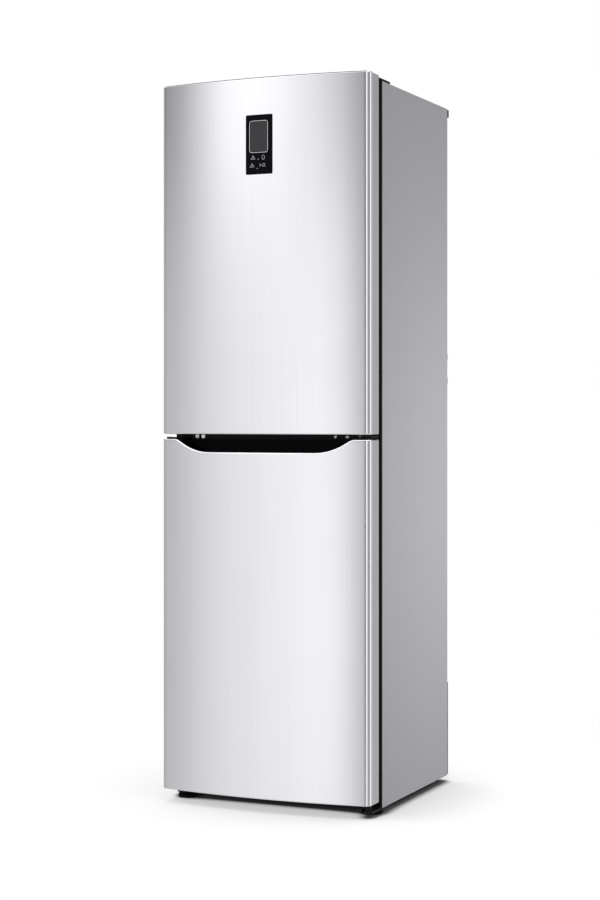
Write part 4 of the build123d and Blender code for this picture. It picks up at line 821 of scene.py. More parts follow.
@dataclass
class MeshDraft:
    """Vertices and faces of one piece, in metres in the row frame."""

    vertices: list[Point] = field(default_factory=list)
    faces: list[tuple[int, ...]] = field(default_factory=list)

    def grid(
        self,
        rows: Sequence[Sequence[Point]],
        closed: bool = False,
        skip: Iterable[tuple[int, int]] = (),
    ) -> None:
        """Add a net of four-sided faces.

        Args:
            rows: Rows of points, all of one length.
            closed: Whether each row joins up with its own start.
            skip: Cells to leave open, as row and column.
        """
        start = len(self.vertices)
        width = len(rows[0])
        left_out = set(skip)
        for row in rows:
            self.vertices.extend(row)
        for r in range(len(rows) - 1):
            for c in range(width if closed else width - 1):
                if (r, c) in left_out:
                    continue
                after = (c + 1) % width
                low = start + r * width
                high = low + width
                self.faces.append((low + c, low + after, high + after, high + c))

    def lid(self, points: Sequence[Point]) -> None:
        """Add one flat face.

        Args:
            points: Its corners in order.
        """
        start = len(self.vertices)
        self.vertices.extend(points)
        self.faces.append(tuple(range(start, start + len(points))))

    def loft(self, rings: Sequence[Sequence[Point]]) -> None:
        """Add a solid through a row of rings, with a lid at each end.

        Args:
            rings: Outlines in order, all of one length.
        """
        self.grid(rings, closed=True)
        self.lid(rings[0])
        self.lid(rings[-1])

    def sweep(
        self,
        path: Sequence[Point],
        radius: float,
        sides: int,
        closed: bool = False,
        across: Point = (0.0, 1.0, 0.0),
    ) -> None:
        """Add a round bar along a flat path, mitred where the path turns.

        Args:
            path: Points that the bar follows.
            radius: Its radius in metres.
            sides: Faces round the bar.
            closed: Whether the path joins up with its own start.
            across: Direction square to the path's plane.
        """
        sharpest = 0.5
        points = [Vector(p) for p in path]
        count = len(points)
        upright = Vector(across)
        rings = []
        for i, point in enumerate(points):
            ahead = (points[(i + 1) % count] - point).normalized()
            behind = (point - points[i - 1]).normalized()
            if not closed and i == 0:
                behind = ahead
            if not closed and i == count - 1:
                ahead = behind
            along = (ahead + behind).normalized()
            side = along.cross(upright) / max(along.dot(ahead), sharpest)
            turns = [2 * math.pi * s / sides for s in range(sides)]
            spokes = [math.cos(t) * side + math.sin(t) * upright for t in turns]
            rings.append([tuple(point + radius * spoke) for spoke in spokes])
        if closed:
            self.grid(rings + [rings[0]], closed=True)
        else:
            self.loft(rings)

    def piece(
        self, name: str, finish: Finish, body: str, sheet: float = 0.0
    ) -> bpy.types.Object:
        """Turn the draft into a piece that rides on a body.

        Args:
            name: Name of the piece.
            finish: Its finish.
            body: The body it moves with.
            sheet: Thickness to give an open sheet, inwards from its outer face.

        Returns:
            The new object.
        """
        mesh = bpy.data.meshes.new(name)
        work = bmesh.new()
        corners = [work.verts.new(point) for point in self.vertices]
        for face in self.faces:
            work.faces.new([corners[i] for i in face])
        bmesh.ops.remove_doubles(work, verts=work.verts, dist=WELD)
        bmesh.ops.recalc_face_normals(work, faces=work.faces)
        work.to_mesh(mesh)
        work.free()
        mesh.materials.append(finish.material())
        made = bpy.data.objects.new(name, mesh)
        bpy.context.scene.collection.objects.link(made)
        if sheet:
            self.thicken(made, sheet)
        made.data.shade_smooth()
        made.data.set_sharp_from_angle(angle=CREASE)
        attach(made, body)
        LOG.info("piece %s on %s", name, body)
        return made

    @staticmethod
    def thicken(made: bpy.types.Object, sheet: float) -> None:
        """Give an open sheet its thickness.

        Args:
            made: The sheet.
            sheet: Its thickness, inwards from the face that looks to the front.
        """
        front = min(made.data.polygons, key=lambda face: face.center.y)
        if front.normal.y > 0:
            made.data.flip_normals()
        thick = made.modifiers.new("sheet", "SOLIDIFY")
        thick.thickness = sheet
        thick.offset = -1.0
        graph = bpy.context.evaluated_depsgraph_get()
        solid = bpy.data.meshes.new_from_object(made.evaluated_get(graph))
        made.modifiers.clear()
        made.data = solid


def arc(centre: Flat, radius: float, start: float, end: float, steps: int) -> list[Flat]:
    """Points along a circular arc.

    Args:
        centre: Centre of the circle.
        radius: Its radius.
        start: First angle in radians.
        end: Last angle in radians.
        steps: Number of stretches.

    Returns:
        The points, ends included.
    """
    x, y = centre
    turns = [start + (end - start) * i / steps for i in range(steps + 1)]
    return [(x + radius * math.cos(t), y + radius * math.sin(t)) for t in turns]


def circle(radius: float, sides: int) -> list[Flat]:
    """Corners of a regular outline about the origin."""
    return arc((0.0, 0.0), radius, 0.0, 2 * math.pi * (sides - 1) / sides, sides - 1)


def rounded_rectangle(half_x: float, half_z: float, radius: float, steps: int = 6) -> list[Flat]:
    """Outline of a rectangle with round corners about the origin.

    Args:
        half_x: Half its width.
        half_z: Half its height.
        radius: Corner radius.
        steps: Stretches in each corner.

    Returns:
        The outline, anticlockwise from the right.
    """
    outline = []
    for quarter, (sx, sz) in enumerate(((1, 1), (-1, 1), (-1, -1), (1, -1))):
        centre = (sx * (half_x - radius), sz * (half_z - radius))
        start = quarter * QUARTER
        outline.extend(arc(centre, radius, start, start + QUARTER, steps))
    return outline


def crown_radius(half: float) -> float:
    """Radius of a door front's curve, from half its width."""
    return (half**2 + DOOR_BULGE**2) / (2 * DOOR_BULGE)


# Doors


@dataclass(frozen=True)
class Scoop:
    """Handle scoop along the top edge of a door, as a height over x."""

    top: float
    depth: float = 34 * MM
    top_half: float = 251.5 * MM
    slope_run: float = 59 * MM
    floor_radius: float = 152 * MM
    top_radius: float = 28 * MM

    def edge(self, x: float) -> Flat:
        """Height and slope of the edge.

        Args:
            x: Place across the door.

        Returns:
            Height of the edge and its slope angle, positive where it rises towards +X.
        """
        side = math.copysign(1.0, x)
        out = abs(x)
        angle = math.atan2(self.depth, self.slope_run)
        floor = self.top - self.depth
        floor_half = self.top_half - self.slope_run
        floor_cut = self.floor_radius * math.tan(angle / 2)
        top_cut = self.top_radius * math.tan(angle / 2)
        bend_start = floor_half - floor_cut
        bend_end = floor_half + floor_cut * math.cos(angle)
        crest_start = self.top_half - top_cut * math.cos(angle)
        crest_end = self.top_half + top_cut
        if out <= bend_start:
            return floor, 0.0
        if out <= bend_end:
            turn = math.asin((out - bend_start) / self.floor_radius)
            return floor + self.floor_radius * (1 - math.cos(turn)), side * turn
        if out <= crest_start:
            return floor + (out - floor_half) * math.tan(angle), side * angle
        if out <= crest_end:
            turn = math.asin((crest_end - out) / self.top_radius)
            return self.top - self.top_radius * (1 - math.cos(turn)), side * turn
        return self.top, 0.0


@dataclass(frozen=True)
class Window:
    """Opening with round corners in a door's front."""

    half: float
    bottom: float
    top: float
    radius: float

    def ends(self, x: float) -> Flat:
        """Lower and upper end of the opening.

        Args:
            x: Place across the door.

        Returns:
            The two heights; beside the opening, where its straight sides end.
        """
        inset = max(0.0, abs(x) - (self.half - self.radius))
        if inset >= self.radius:
            return self.bottom + self.radius, self.top - self.radius
        rise = self.radius - math.sqrt(self.radius**2 - inset**2)
        return self.bottom + rise, self.top - rise


@dataclass(frozen=True)
class PlanPoint:
    """One point of the door's plan with its outward direction."""

    x: float
    y: float
    out_x: float
    out_y: float
    front_limit: ClassVar[float] = -0.5
    flat_limit: ClassVar[float] = -0.95

    @classmethod
    def on_circle(cls, centre: Flat, radius: float, turn: float) -> "PlanPoint":
        """A point on a round stretch of the plan.

        Args:
            centre: Centre of the stretch.
            radius: Its radius.
            turn: Direction from the front towards +X, in radians.

        Returns:
            The point.
        """
        out_x, out_y = math.sin(turn), -math.cos(turn)
        return cls(centre[0] + radius * out_x, centre[1] + radius * out_y, out_x, out_y)

    def on_front(self) -> bool:
        """Whether the point belongs to the door's front."""
        return self.out_y < self.front_limit


@dataclass
class DoorWrap:
    """Brushed steel wrap of one door, with rolled upper and lower edges."""

    name: str
    node: str
    body: str
    scoop: Scoop | None = None
    window: Window | None = None
    top_rise: float = 0.0
    bottom_rise: float = 0.0
    corner_radius: float = 14 * MM
    bend_radius: float = 2 * MM
    lip: float = 16 * MM
    roll_radius: float = 3.2 * MM
    lower_roll: float = 3.2 * MM
    support: float = 2.5 * MM
    sheet: float = 0.9 * MM
    front_steps: int = 72
    corner_steps: int = 12
    bend_steps: int = 4
    window_steps: int = 6
    window_clear: float = 1 * MM
    roll_steps: int = 9
    roll_sweep: float = math.radians(225)

    def plan(self) -> list[PlanPoint]:
        """The wrap seen from above, from the left rear lip round to the right one.

        Returns:
            The plan's points in order.
        """
        low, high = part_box(self.node)
        half = high.x
        radius = crown_radius(half)
        centre_y = low.y + radius
        corner_x = half - self.corner_radius
        corner_y = centre_y - math.sqrt((radius - self.corner_radius) ** 2 - corner_x**2)
        meet = math.atan2(corner_x, centre_y - corner_y)
        bend = (half - self.bend_radius, high.y - self.bend_radius)
        stretches = (
            ((0.0, centre_y), radius, 0.0, meet, self.front_steps),
            ((corner_x, corner_y), self.corner_radius, meet, QUARTER, self.corner_steps),
            (bend, self.bend_radius, QUARTER, math.pi, self.bend_steps),
        )
        points = []
        for centre, size, start, end, steps in stretches:
            if start == meet:
                points.pop()
            for i in range(steps + 1):
                turn = start + (end - start) * i / steps
                points.append(PlanPoint.on_circle(centre, size, turn))
        points.append(PlanPoint(half - self.lip, high.y, 0.0, 1.0))
        mirrored = [PlanPoint(-p.x, p.y, -p.out_x, p.out_y) for p in points[:0:-1]]
        return mirrored + points

    def roll(
        self, spot: PlanPoint, height: float, slope: float, rise: float, up: float
    ) -> list[Point]:
        """Rolled edge at one point of the plan.

        Args:
            spot: Where on the plan.
            height: Height of the edge there.
            slope: Slope angle of the edge along the plan.
            rise: How far the roll stands past the edge.
            up: 1 for an upper edge, -1 for a lower one.

        Returns:
            Points of the roll, from the face of the wrap inwards.
        """
        radius = self.roll_radius if up > 0 else self.lower_roll
        out = Vector((spot.out_x, spot.out_y, 0.0))
        along = Vector((-spot.out_y, spot.out_x, 0.0))
        over = Vector((0.0, 0.0, up * math.cos(slope))) - along * math.sin(slope) * up
        middle = Vector((spot.x, spot.y, height)) - out * radius + over * (rise - radius)
        points = []
        for i in range(self.roll_steps + 1):
            turn = self.roll_sweep * i / self.roll_steps
            points.append(tuple(middle + radius * (math.cos(turn) * out + math.sin(turn) * over)))
        return points

    def column(self, spot: PlanPoint, bottom: float, top: float) -> list[Point]:
        """One upright line of the wrap, from its lower roll to its upper one.

        Args:
            spot: Where on the plan.
            bottom: Height of the lower edge.
            top: Height of the straight upper edge.

        Returns:
            The points from the bottom up.
        """
        height, slope = top, 0.0
        if self.scoop and spot.on_front():
            height, slope = self.scoop.edge(spot.x)
        lower = self.roll(spot, bottom, 0.0, self.bottom_rise, -1.0)[::-1]
        upper = self.roll(spot, height, slope, self.top_rise, 1.0)
        if self.window:
            first, second = self.window.ends(spot.x)
        else:
            first, second = bottom + (top - bottom) / 3, bottom + (top - bottom) * 2 / 3
        near_low = (spot.x, spot.y, lower[-1][2] + self.support)
        near_high = self.roll(spot, height, slope, self.top_rise - self.support, 1.0)[0]
        middle = [(spot.x, spot.y, first), (spot.x, spot.y, second)]
        return lower + [near_low] + middle + [near_high] + upper

    def build(self) -> bpy.types.Object:
        """Make the wrap and let it stand for the door's plain skin.

        Returns:
            The new piece.
        """
        low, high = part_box(self.node)
        plan = self.plan()
        skip = []
        if self.window:
            plan = self.with_window_columns(plan)
            edge = self.window.half + WELD
            window_row = self.roll_steps + 2
            for i, (spot, after) in enumerate(zip(plan, plan[1:])):
                if spot.on_front() and max(abs(spot.x), abs(after.x)) <= edge:
                    skip.append((i, window_row))
        columns = [self.column(spot, low.z, high.z) for spot in plan]
        draft = MeshDraft()
        draft.grid(columns, skip=skip)
        made = draft.piece(self.name, Surfaces.DOOR_STEEL, self.body, self.sheet)
        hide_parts(self.node)
        return made

    def with_window_columns(self, plan: list[PlanPoint]) -> list[PlanPoint]:
        """Add columns where the window's corners begin and end.

        Args:
            plan: The plan without them.

        Returns:
            The plan with them, in order.
        """
        low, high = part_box(self.node)
        radius = crown_radius(high.x)
        centre = (0.0, low.y + radius)
        inner = self.window.half - self.window.radius
        added = []
        for step in range(self.window_steps + 1):
            x = inner + self.window.radius * math.sin(QUARTER * step / self.window_steps)
            for side in (-1, 1):
                added.append(PlanPoint.on_circle(centre, radius, math.asin(side * x / radius)))
        near = high.x / 2
        front = [p for p in plan if p.out_y < p.flat_limit and abs(p.x) < near]
        nearest = inner - self.window_clear
        farthest = self.window.half + self.window_clear
        kept = [p for p in front if not nearest < abs(p.x) < farthest]
        start = plan.index(front[0])
        merged = sorted(kept + added, key=lambda p: p.x)
        return plan[:start] + merged + plan[start + len(front):]


class KeySign(Enum):
    """Printed signs of the touch keys, with the names of their pieces."""

    PEAK = "peak_key"
    MODE = "mode_dot"
    LEAF = "leaf_key"
    ALARM = "alarm_key"
    SPEED = "speed_key"
    HOLD = "hold_dot"

    def strokes(self) -> list[tuple[Sequence[Flat], bool]]:
        """Lines of the sign about its middle, in shares of half its width.

        Returns:
            Paths, each with whether it joins up with its own start.
        """
        if self in (KeySign.PEAK, KeySign.ALARM):
            peak = ((0.0, 0.85), (-0.95, -0.65), (0.95, -0.65))
            level_mark = ((-0.3, -0.2), (0.3, -0.2))
            upright_mark = ((0.0, 0.3), (0.0, -0.3))
            return [(peak, True), (level_mark if self is KeySign.PEAK else upright_mark, False)]
        if self is KeySign.LEAF:
            near = arc((0.35, 0.0), 1.0, math.radians(110), math.radians(250), 12)
            far = arc((-0.35, 0.0), 1.0, math.radians(-70), math.radians(70), 12)
            return [(near + far[1:-1], True)]
        if self is KeySign.SPEED:
            arrow = ((-1.0, 0.45), (-0.45, 0.0), (-1.0, -0.45))
            box = [(0.45 + px, pz) for px, pz in rounded_rectangle(0.42, 0.42, 0.12, 3)]
            return [(arrow, True), (box, True)]
        return [(circle(0.5, 12), True)]


@dataclass
class DisplayPanel:
    """Screen, frame line and touch keys on the black display glass."""

    node: str = "display_glass"
    body: str = "fridge_door"
    line_half: float = 26.3 * MM
    line_shift: float = -1.6 * MM
    line_top: float = 15 * MM
    line_height: float = 83 * MM
    line_radius: float = 7 * MM
    line_width: float = 1.1 * MM
    screen_inset: float = 2.6 * MM
    lift: float = 0.10 * MM
    sunk: float = 0.2 * MM
    key_line: float = 1.4 * MM
    key_sides: int = 6
    keys: tuple[tuple[KeySign, float, float, float], ...] = (
        (KeySign.PEAK, -15.6 * MM, 110.5 * MM, 6.0 * MM),
        (KeySign.MODE, -1.0 * MM, 115 * MM, 1.5 * MM),
        (KeySign.LEAF, 13.2 * MM, 110.5 * MM, 6.0 * MM),
        (KeySign.ALARM, -18.4 * MM, 130.5 * MM, 6.0 * MM),
        (KeySign.SPEED, 11.4 * MM, 130.5 * MM, 7.6 * MM),
        (KeySign.HOLD, -3.9 * MM, 138.5 * MM, 1.5 * MM),
    )
    middle: float = field(init=False)
    top: float = field(init=False)
    face: float = field(init=False)

    def build(self) -> None:
        """Make the screen, its frame line and the keys."""
        low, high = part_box(self.node)
        self.middle = (low.x + high.x) / 2 + self.line_shift
        self.top = high.z
        self.face = low.y
        self.screen()
        self.frame_line()
        for sign, x, drop, size in self.keys:
            self.key(sign, self.middle + x, self.top - drop, size)

    def ring(self, inset: float, lift: float) -> list[Point]:
        """An outline about the screen.

        Args:
            inset: How far inside the frame line's outer edge.
            lift: How far it stands off the glass.

        Returns:
            The outline's points.
        """
        half_z = self.line_height / 2
        height = self.top - self.line_top - half_z
        outline = rounded_rectangle(
            self.line_half - inset, half_z - inset, self.line_radius - inset
        )
        return [(self.middle + px, self.face - lift, height + pz) for px, pz in outline]

    def screen(self) -> None:
        """Dark grey screen inside the frame line."""
        inset = self.screen_inset
        draft = MeshDraft()
        draft.loft([self.ring(inset, self.lift / 2), self.ring(inset, -self.sunk)])
        draft.piece("display_screen", Surfaces.SCREEN, self.body)

    def frame_line(self) -> None:
        """Pale line round the screen."""
        rings = [
            self.ring(self.line_width, -self.sunk),
            self.ring(self.line_width, self.lift),
            self.ring(0.0, self.lift),
            self.ring(0.0, -self.sunk),
        ]
        draft = MeshDraft()
        draft.grid(rings + [rings[0]], closed=True)
        draft.piece("display_frame_line", Surfaces.SCREEN_LINE, self.body)

    def key(self, sign: KeySign, x: float, z: float, size: float) -> None:
        """One printed key.

        Args:
            sign: Its sign.
            x: Its place across the door.
            z: Its height.
            size: Half its width.
        """
        draft = MeshDraft()
        bar = self.key_line / 2
        y = self.face + bar - self.lift
        for stroke, closed in sign.strokes():
            path = [(x + size * px, y, z + size * pz) for px, pz in stroke]
            draft.sweep(path, bar, self.key_sides, closed)
        draft.piece(sign.value, Surfaces.KEY_PRINT, self.body)


# Trims


@dataclass
class GapShadeBands:
    """Black sheets of painted shade on the cabinet's front edges, where the door seals close and
    the gap lies in shade.
    """

    body: str = "cabinet"
    thickness: float = 0.3 * MM
    side_inset: float = 0.7 * MM
    inner_inset: float = 47 * MM
    end_inset: float = 2 * MM
    corner: float = 3 * MM
    ease: float = 0.2 * MM

    def build(self) -> None:
        """Make the two upright bands of painted shade, each with eased edges."""
        low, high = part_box("cabinet_shell")
        half_x = (self.inner_inset - self.side_inset) / 2
        half_z = (high.z - low.z) / 2 - self.end_inset
        middle_z = (high.z + low.z) / 2
        for name, side in (("gap_shade_band_left", -1), ("gap_shade_band_right", 1)):
            middle_x = side * (high.x - self.side_inset - half_x)
            rings = []
            for shrink, share in ((0.0, 0.0), (0.0, 0.5), (self.ease, 1.0)):
                outline = rounded_rectangle(half_x - shrink, half_z - shrink, self.corner)
                y = low.y - share * self.thickness
                rings.append([(middle_x + px, y, middle_z + pz) for px, pz in outline])
            draft = MeshDraft()
            draft.loft(rings)
            draft.piece(name, Surfaces.GAP_SHADE_BLACK, self.body)


@dataclass
class ScrewSet:
    """Pan-head screws with a cross recess, one piece for each set."""

    name: str
    seats: tuple[Point, ...]
    facing: float
    body: str = "cabinet"
    radius: float = 4.2 * MM
    height: float = 1.8 * MM
    sunk: float = 0.3 * MM
    arm: float = 2.3 * MM
    arm_half: float = 0.55 * MM
    recess: float = 1.1 * MM
    recess_draft: float = 0.8
    sides: int = 48
    dome: tuple[Flat, ...] = ((1.0, 0.35), (0.94, 0.7), (0.74, 1.0))

    def build(self) -> bpy.types.Object:
        """Make every head of the set.

        Returns:
            The new piece.
        """
        draft = MeshDraft()
        for seat in self.seats:
            self.head(draft, seat)
        return draft.piece(self.name, Surfaces.SCREW_ZINC, self.body)

    def cross(self, turn: float, scale: float) -> float:
        """Distance from the middle to the edge of the cross recess.

        Args:
            turn: Direction in radians.
            scale: Size of the cross.

        Returns:
            The distance.
        """
        least = 1e-6
        across = max(abs(math.cos(turn)), least)
        along = max(abs(math.sin(turn)), least)
        flat = min(self.arm / across, self.arm_half / along)
        upright = min(self.arm / along, self.arm_half / across)
        return scale * max(flat, upright)

    def head(self, draft: MeshDraft, seat: Point) -> None:
        """One head on its seat.

        Args:
            draft: The draft that takes it.
            seat: Middle of the seat.
        """
        turns = [2 * math.pi * i / self.sides for i in range(self.sides)]
        profile = [(1.0, -self.sunk)] + [(share, rise * self.height) for share, rise in self.dome]
        rings = []
        for share, rise in profile:
            rings.append(self.ring(seat, [(self.radius * share, t) for t in turns], rise))
        floor = self.height - self.recess
        for scale, rise in ((1.0, self.height), (self.recess_draft, floor)):
            rings.append(self.ring(seat, [(self.cross(t, scale), t) for t in turns], rise))
        draft.loft(rings)

    def ring(self, seat: Point, spokes: Sequence[Flat], rise: float) -> list[Point]:
        """Points round the head at one height.

        Args:
            seat: Middle of the seat.
            spokes: Pairs of distance and direction.
            rise: Height above the seat.

        Returns:
            The points in order.
        """
        y = seat[1] + self.facing * rise
        return [(seat[0] + r * math.cos(t), y, seat[2] + r * math.sin(t)) for r, t in spokes]


@dataclass
class HingeScrews:
    """Heads of the middle hinge's screws."""

    places: tuple[float, ...] = (172 * MM, 204.5 * MM, 239.5 * MM)
    face: float = -209.6 * MM
    row: float = 970.5 * MM

    def build(self) -> bpy.types.Object:
        """Make the heads on the hinge's front face.

        Returns:
            The new piece.
        """
        seats = tuple((x, self.face, self.row) for x in self.places)
        heads = ScrewSet("hinge_screw_heads", seats, -1.0, height=1.2 * MM, recess=0.8 * MM)
        return heads.build()


@dataclass
class RearDress:
    """Pressed beads and screws on the back of the cabinet."""

    body: str = "cabinet"
    bead_offsets: tuple[tuple[str, float], ...] = (
        ("rear_bead_left", -150 * MM),
        ("rear_bead_middle", 0.0),
        ("rear_bead_right", 150 * MM),
    )
    bead_half: float = 9 * MM
    bead_rise: float = 1.6 * MM
    bead_sunk: float = 0.3 * MM
    bead_end: float = 14 * MM
    bead_bottom: float = 350 * MM
    bead_top: float = 1600 * MM
    bead_least: float = 0.05
    crest_power: float = 1.5
    end_steps: int = 8
    crest_steps: int = 14
    edge_inset: float = 11 * MM
    box_inset: float = 9 * MM
    panel_rows: tuple[float, ...] = (330 * MM, 720 * MM, 1110 * MM, 1500 * MM, 1840 * MM)

    def build(self) -> None:
        """Make the beads and the screws of the panel, the lower cover and the control cover."""
        _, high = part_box("rear_panel")
        for name, x in self.bead_offsets:
            self.bead(name, x, high.y)
        half = high.x - self.edge_inset
        edge = tuple((side * half, high.y, z) for z in self.panel_rows for side in (-1, 1))
        cover = self.corners("machine_cover", self.edge_inset)
        box = self.corners("control_box", self.box_inset)
        ScrewSet("rear_panel_screws", edge, 1.0, radius=3.8 * MM).build()
        ScrewSet("machine_cover_screws", cover, 1.0).build()
        ScrewSet("control_box_screws", box, 1.0, radius=3.4 * MM).build()

    @staticmethod
    def corners(node: str, inset: float) -> tuple[Point, ...]:
        """Seats near the four corners of a cover's outer face.

        Args:
            node: The cover.
            inset: Distance from its edges.

        Returns:
            The four seats.
        """
        low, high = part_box(node)
        wide = (low.x + inset, high.x - inset)
        tall = (low.z + inset, high.z - inset)
        return tuple((x, high.y, z) for x in wide for z in tall)

    def bead(self, name: str, x: float, face: float) -> None:
        """One upright pressed bead with run-out ends.

        Args:
            name: Name of the piece.
            x: Its place across the panel.
            face: The panel's outer face.
        """
        stations = []
        for step in range(self.end_steps + 1):
            turn = QUARTER * step / self.end_steps
            run = self.bead_end * (1 - math.cos(turn))
            stations.append((self.bead_bottom + run, max(math.sin(turn), self.bead_least)))
        ends = self.bead_bottom + self.bead_top
        stations += [(ends - z, share) for z, share in reversed(stations)]
        crest = arc((0.0, 0.0), 1.0, 0.0, math.pi, self.crest_steps)
        back = face - self.bead_sunk
        rings = []
        for z, share in stations:
            half = self.bead_half * share
            rise = self.bead_rise * share
            power = self.crest_power
            ring = [(x + half * cx, face + rise * cy**power, z) for cx, cy in crest]
            rings.append(ring + [(x - half, back, z), (x + half, back, z)])
        draft = MeshDraft()
        draft.loft(rings)
        draft.piece(name, Surfaces.REAR_SHEET, self.body)


@dataclass
class FreezerDoorInside:
    """Moulded bead on the freezer door's inner face."""

    node: str = "freezer_door_liner"
    body: str = "freezer_door"
    side_inset: float = 78 * MM
    end_inset: float = 62 * MM
    corner: float = 32 * MM
    corner_steps: int = 10
    radius: float = 3 * MM
    sides: int = 12
    proud: float = 1.6 * MM

    def build(self) -> bpy.types.Object:
        """Make the bead.

        Returns:
            The new piece.
        """
        low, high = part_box(self.node)
        half_x = high.x - self.side_inset
        half_z = (high.z - low.z) / 2 - self.end_inset
        middle = (high.z + low.z) / 2
        y = high.y + self.proud - self.radius
        outline = rounded_rectangle(half_x, half_z, self.corner, self.corner_steps)
        path = [(px, y, middle + pz) for px, pz in outline]
        draft = MeshDraft()
        draft.sweep(path, self.radius, self.sides, closed=True)
        return draft.piece("freezer_door_bead", Surfaces.LINER_WHITE, self.body)


@dataclass
class CrisperGrips:
    """Bow grips on the fronts of the two crispers."""

    inset: float = 52 * MM
    drop: float = 17 * MM
    reach: float = 7 * MM
    bend: float = 7 * MM
    bend_steps: int = 8
    sunk: float = 1.5 * MM
    radius: float = 2.6 * MM
    sides: int = 12

    def build(self) -> None:
        """Make one grip on each crisper."""
        for node in ("crisper_left", "crisper_right"):
            self.grip(node)

    def grip(self, node: str) -> bpy.types.Object:
        """One bow grip.

        Args:
            node: The crisper, which is also its body.

        Returns:
            The new piece.
        """
        low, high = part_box(node)
        z = high.z - self.drop
        first = low.x + self.inset
        last = high.x - self.inset
        front = low.y - self.reach + self.bend
        seat = low.y + self.sunk
        left = arc((first + self.bend, front), self.bend, math.pi, 3 * QUARTER, self.bend_steps)
        right = [(first + last - x, y) for x, y in reversed(left)]
        path = [(first, seat)] + left + right + [(last, seat)]
        draft = MeshDraft()
        bow = [(x, y, z) for x, y in path]
        draft.sweep(bow, self.radius, self.sides, across=(0.0, 0.0, 1.0))
        return draft.piece(node + "_grip", Surfaces.WHITE_PLASTIC, node)


@dataclass
class CapRim:
    """Dark rim of a door's end cap that shows over the edge of the steel wrap."""

    name: str
    cap: str
    skin: str
    body: str
    start: float
    end: float
    rise: float
    taper: float = 0.0
    behind: float = 8 * MM
    deep: float = 14 * MM
    fall: float = 3 * MM
    ease: float = 0.6 * MM
    steps: int = 12

    def build(self) -> bpy.types.Object:
        """Make the rim along the door's curve.

        Returns:
            The new piece.
        """
        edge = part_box(self.cap)[1].z
        low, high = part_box(self.skin)
        radius = crown_radius(high.x)
        rings = []
        for step in range(self.steps + 1):
            share = step / self.steps
            x = self.start + (self.end - self.start) * share
            front = low.y + radius - math.sqrt(radius**2 - x**2) + self.behind
            section = self.section(1.0 - self.taper * share)
            rings.append([(x, front + dy, edge + dz) for dy, dz in section])
        draft = MeshDraft()
        draft.loft(rings)
        return draft.piece(self.name, Surfaces.GRIP_BLACK, self.body)

    def section(self, share: float) -> list[Flat]:
        """The rim cut across, with eased upper edges.

        Args:
            share: Share of the full rise.

        Returns:
            Points as depth behind the rim's front and height over the cap.
        """
        top = self.rise * share
        return [
            (0.0, -self.fall),
            (0.0, top - self.ease),
            (self.ease, top),
            (self.deep - self.ease, top),
            (self.deep, top - self.ease),
            (self.deep, -self.fall),
        ]


@dataclass
class HingeCoverFoot:
    """Thin foot of the top hinge's cover, along the cabinet's side."""

    node: str = "hinge_cover"
    body: str = "cabinet"
    reach: float = 3.6 * MM
    height: float = 6.5 * MM
    lap: float = 1.5 * MM
    corner: float = 1.2 * MM
    ease: float = 0.5 * MM

    def build(self) -> bpy.types.Object:
        """Make the foot.

        Returns:
            The new piece.
        """
        low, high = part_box(self.node)
        half_x = (self.reach + self.lap) / 2
        half_y = (high.y - low.y) / 2
        middle_x = high.x - self.lap + half_x
        middle_y = (high.y + low.y) / 2
        rings = []
        for shrink, rise in ((0.0, 0.0), (0.0, self.height - self.ease), (self.ease, self.height)):
            outline = rounded_rectangle(half_x - shrink, half_y - shrink, self.corner)
            rings.append([(middle_x + px, middle_y + py, low.z + rise) for px, py in outline])
        draft = MeshDraft()
        draft.loft(rings)
        return draft.piece("hinge_cover_foot", Surfaces.GRIP_BLACK, self.body)


# Studio


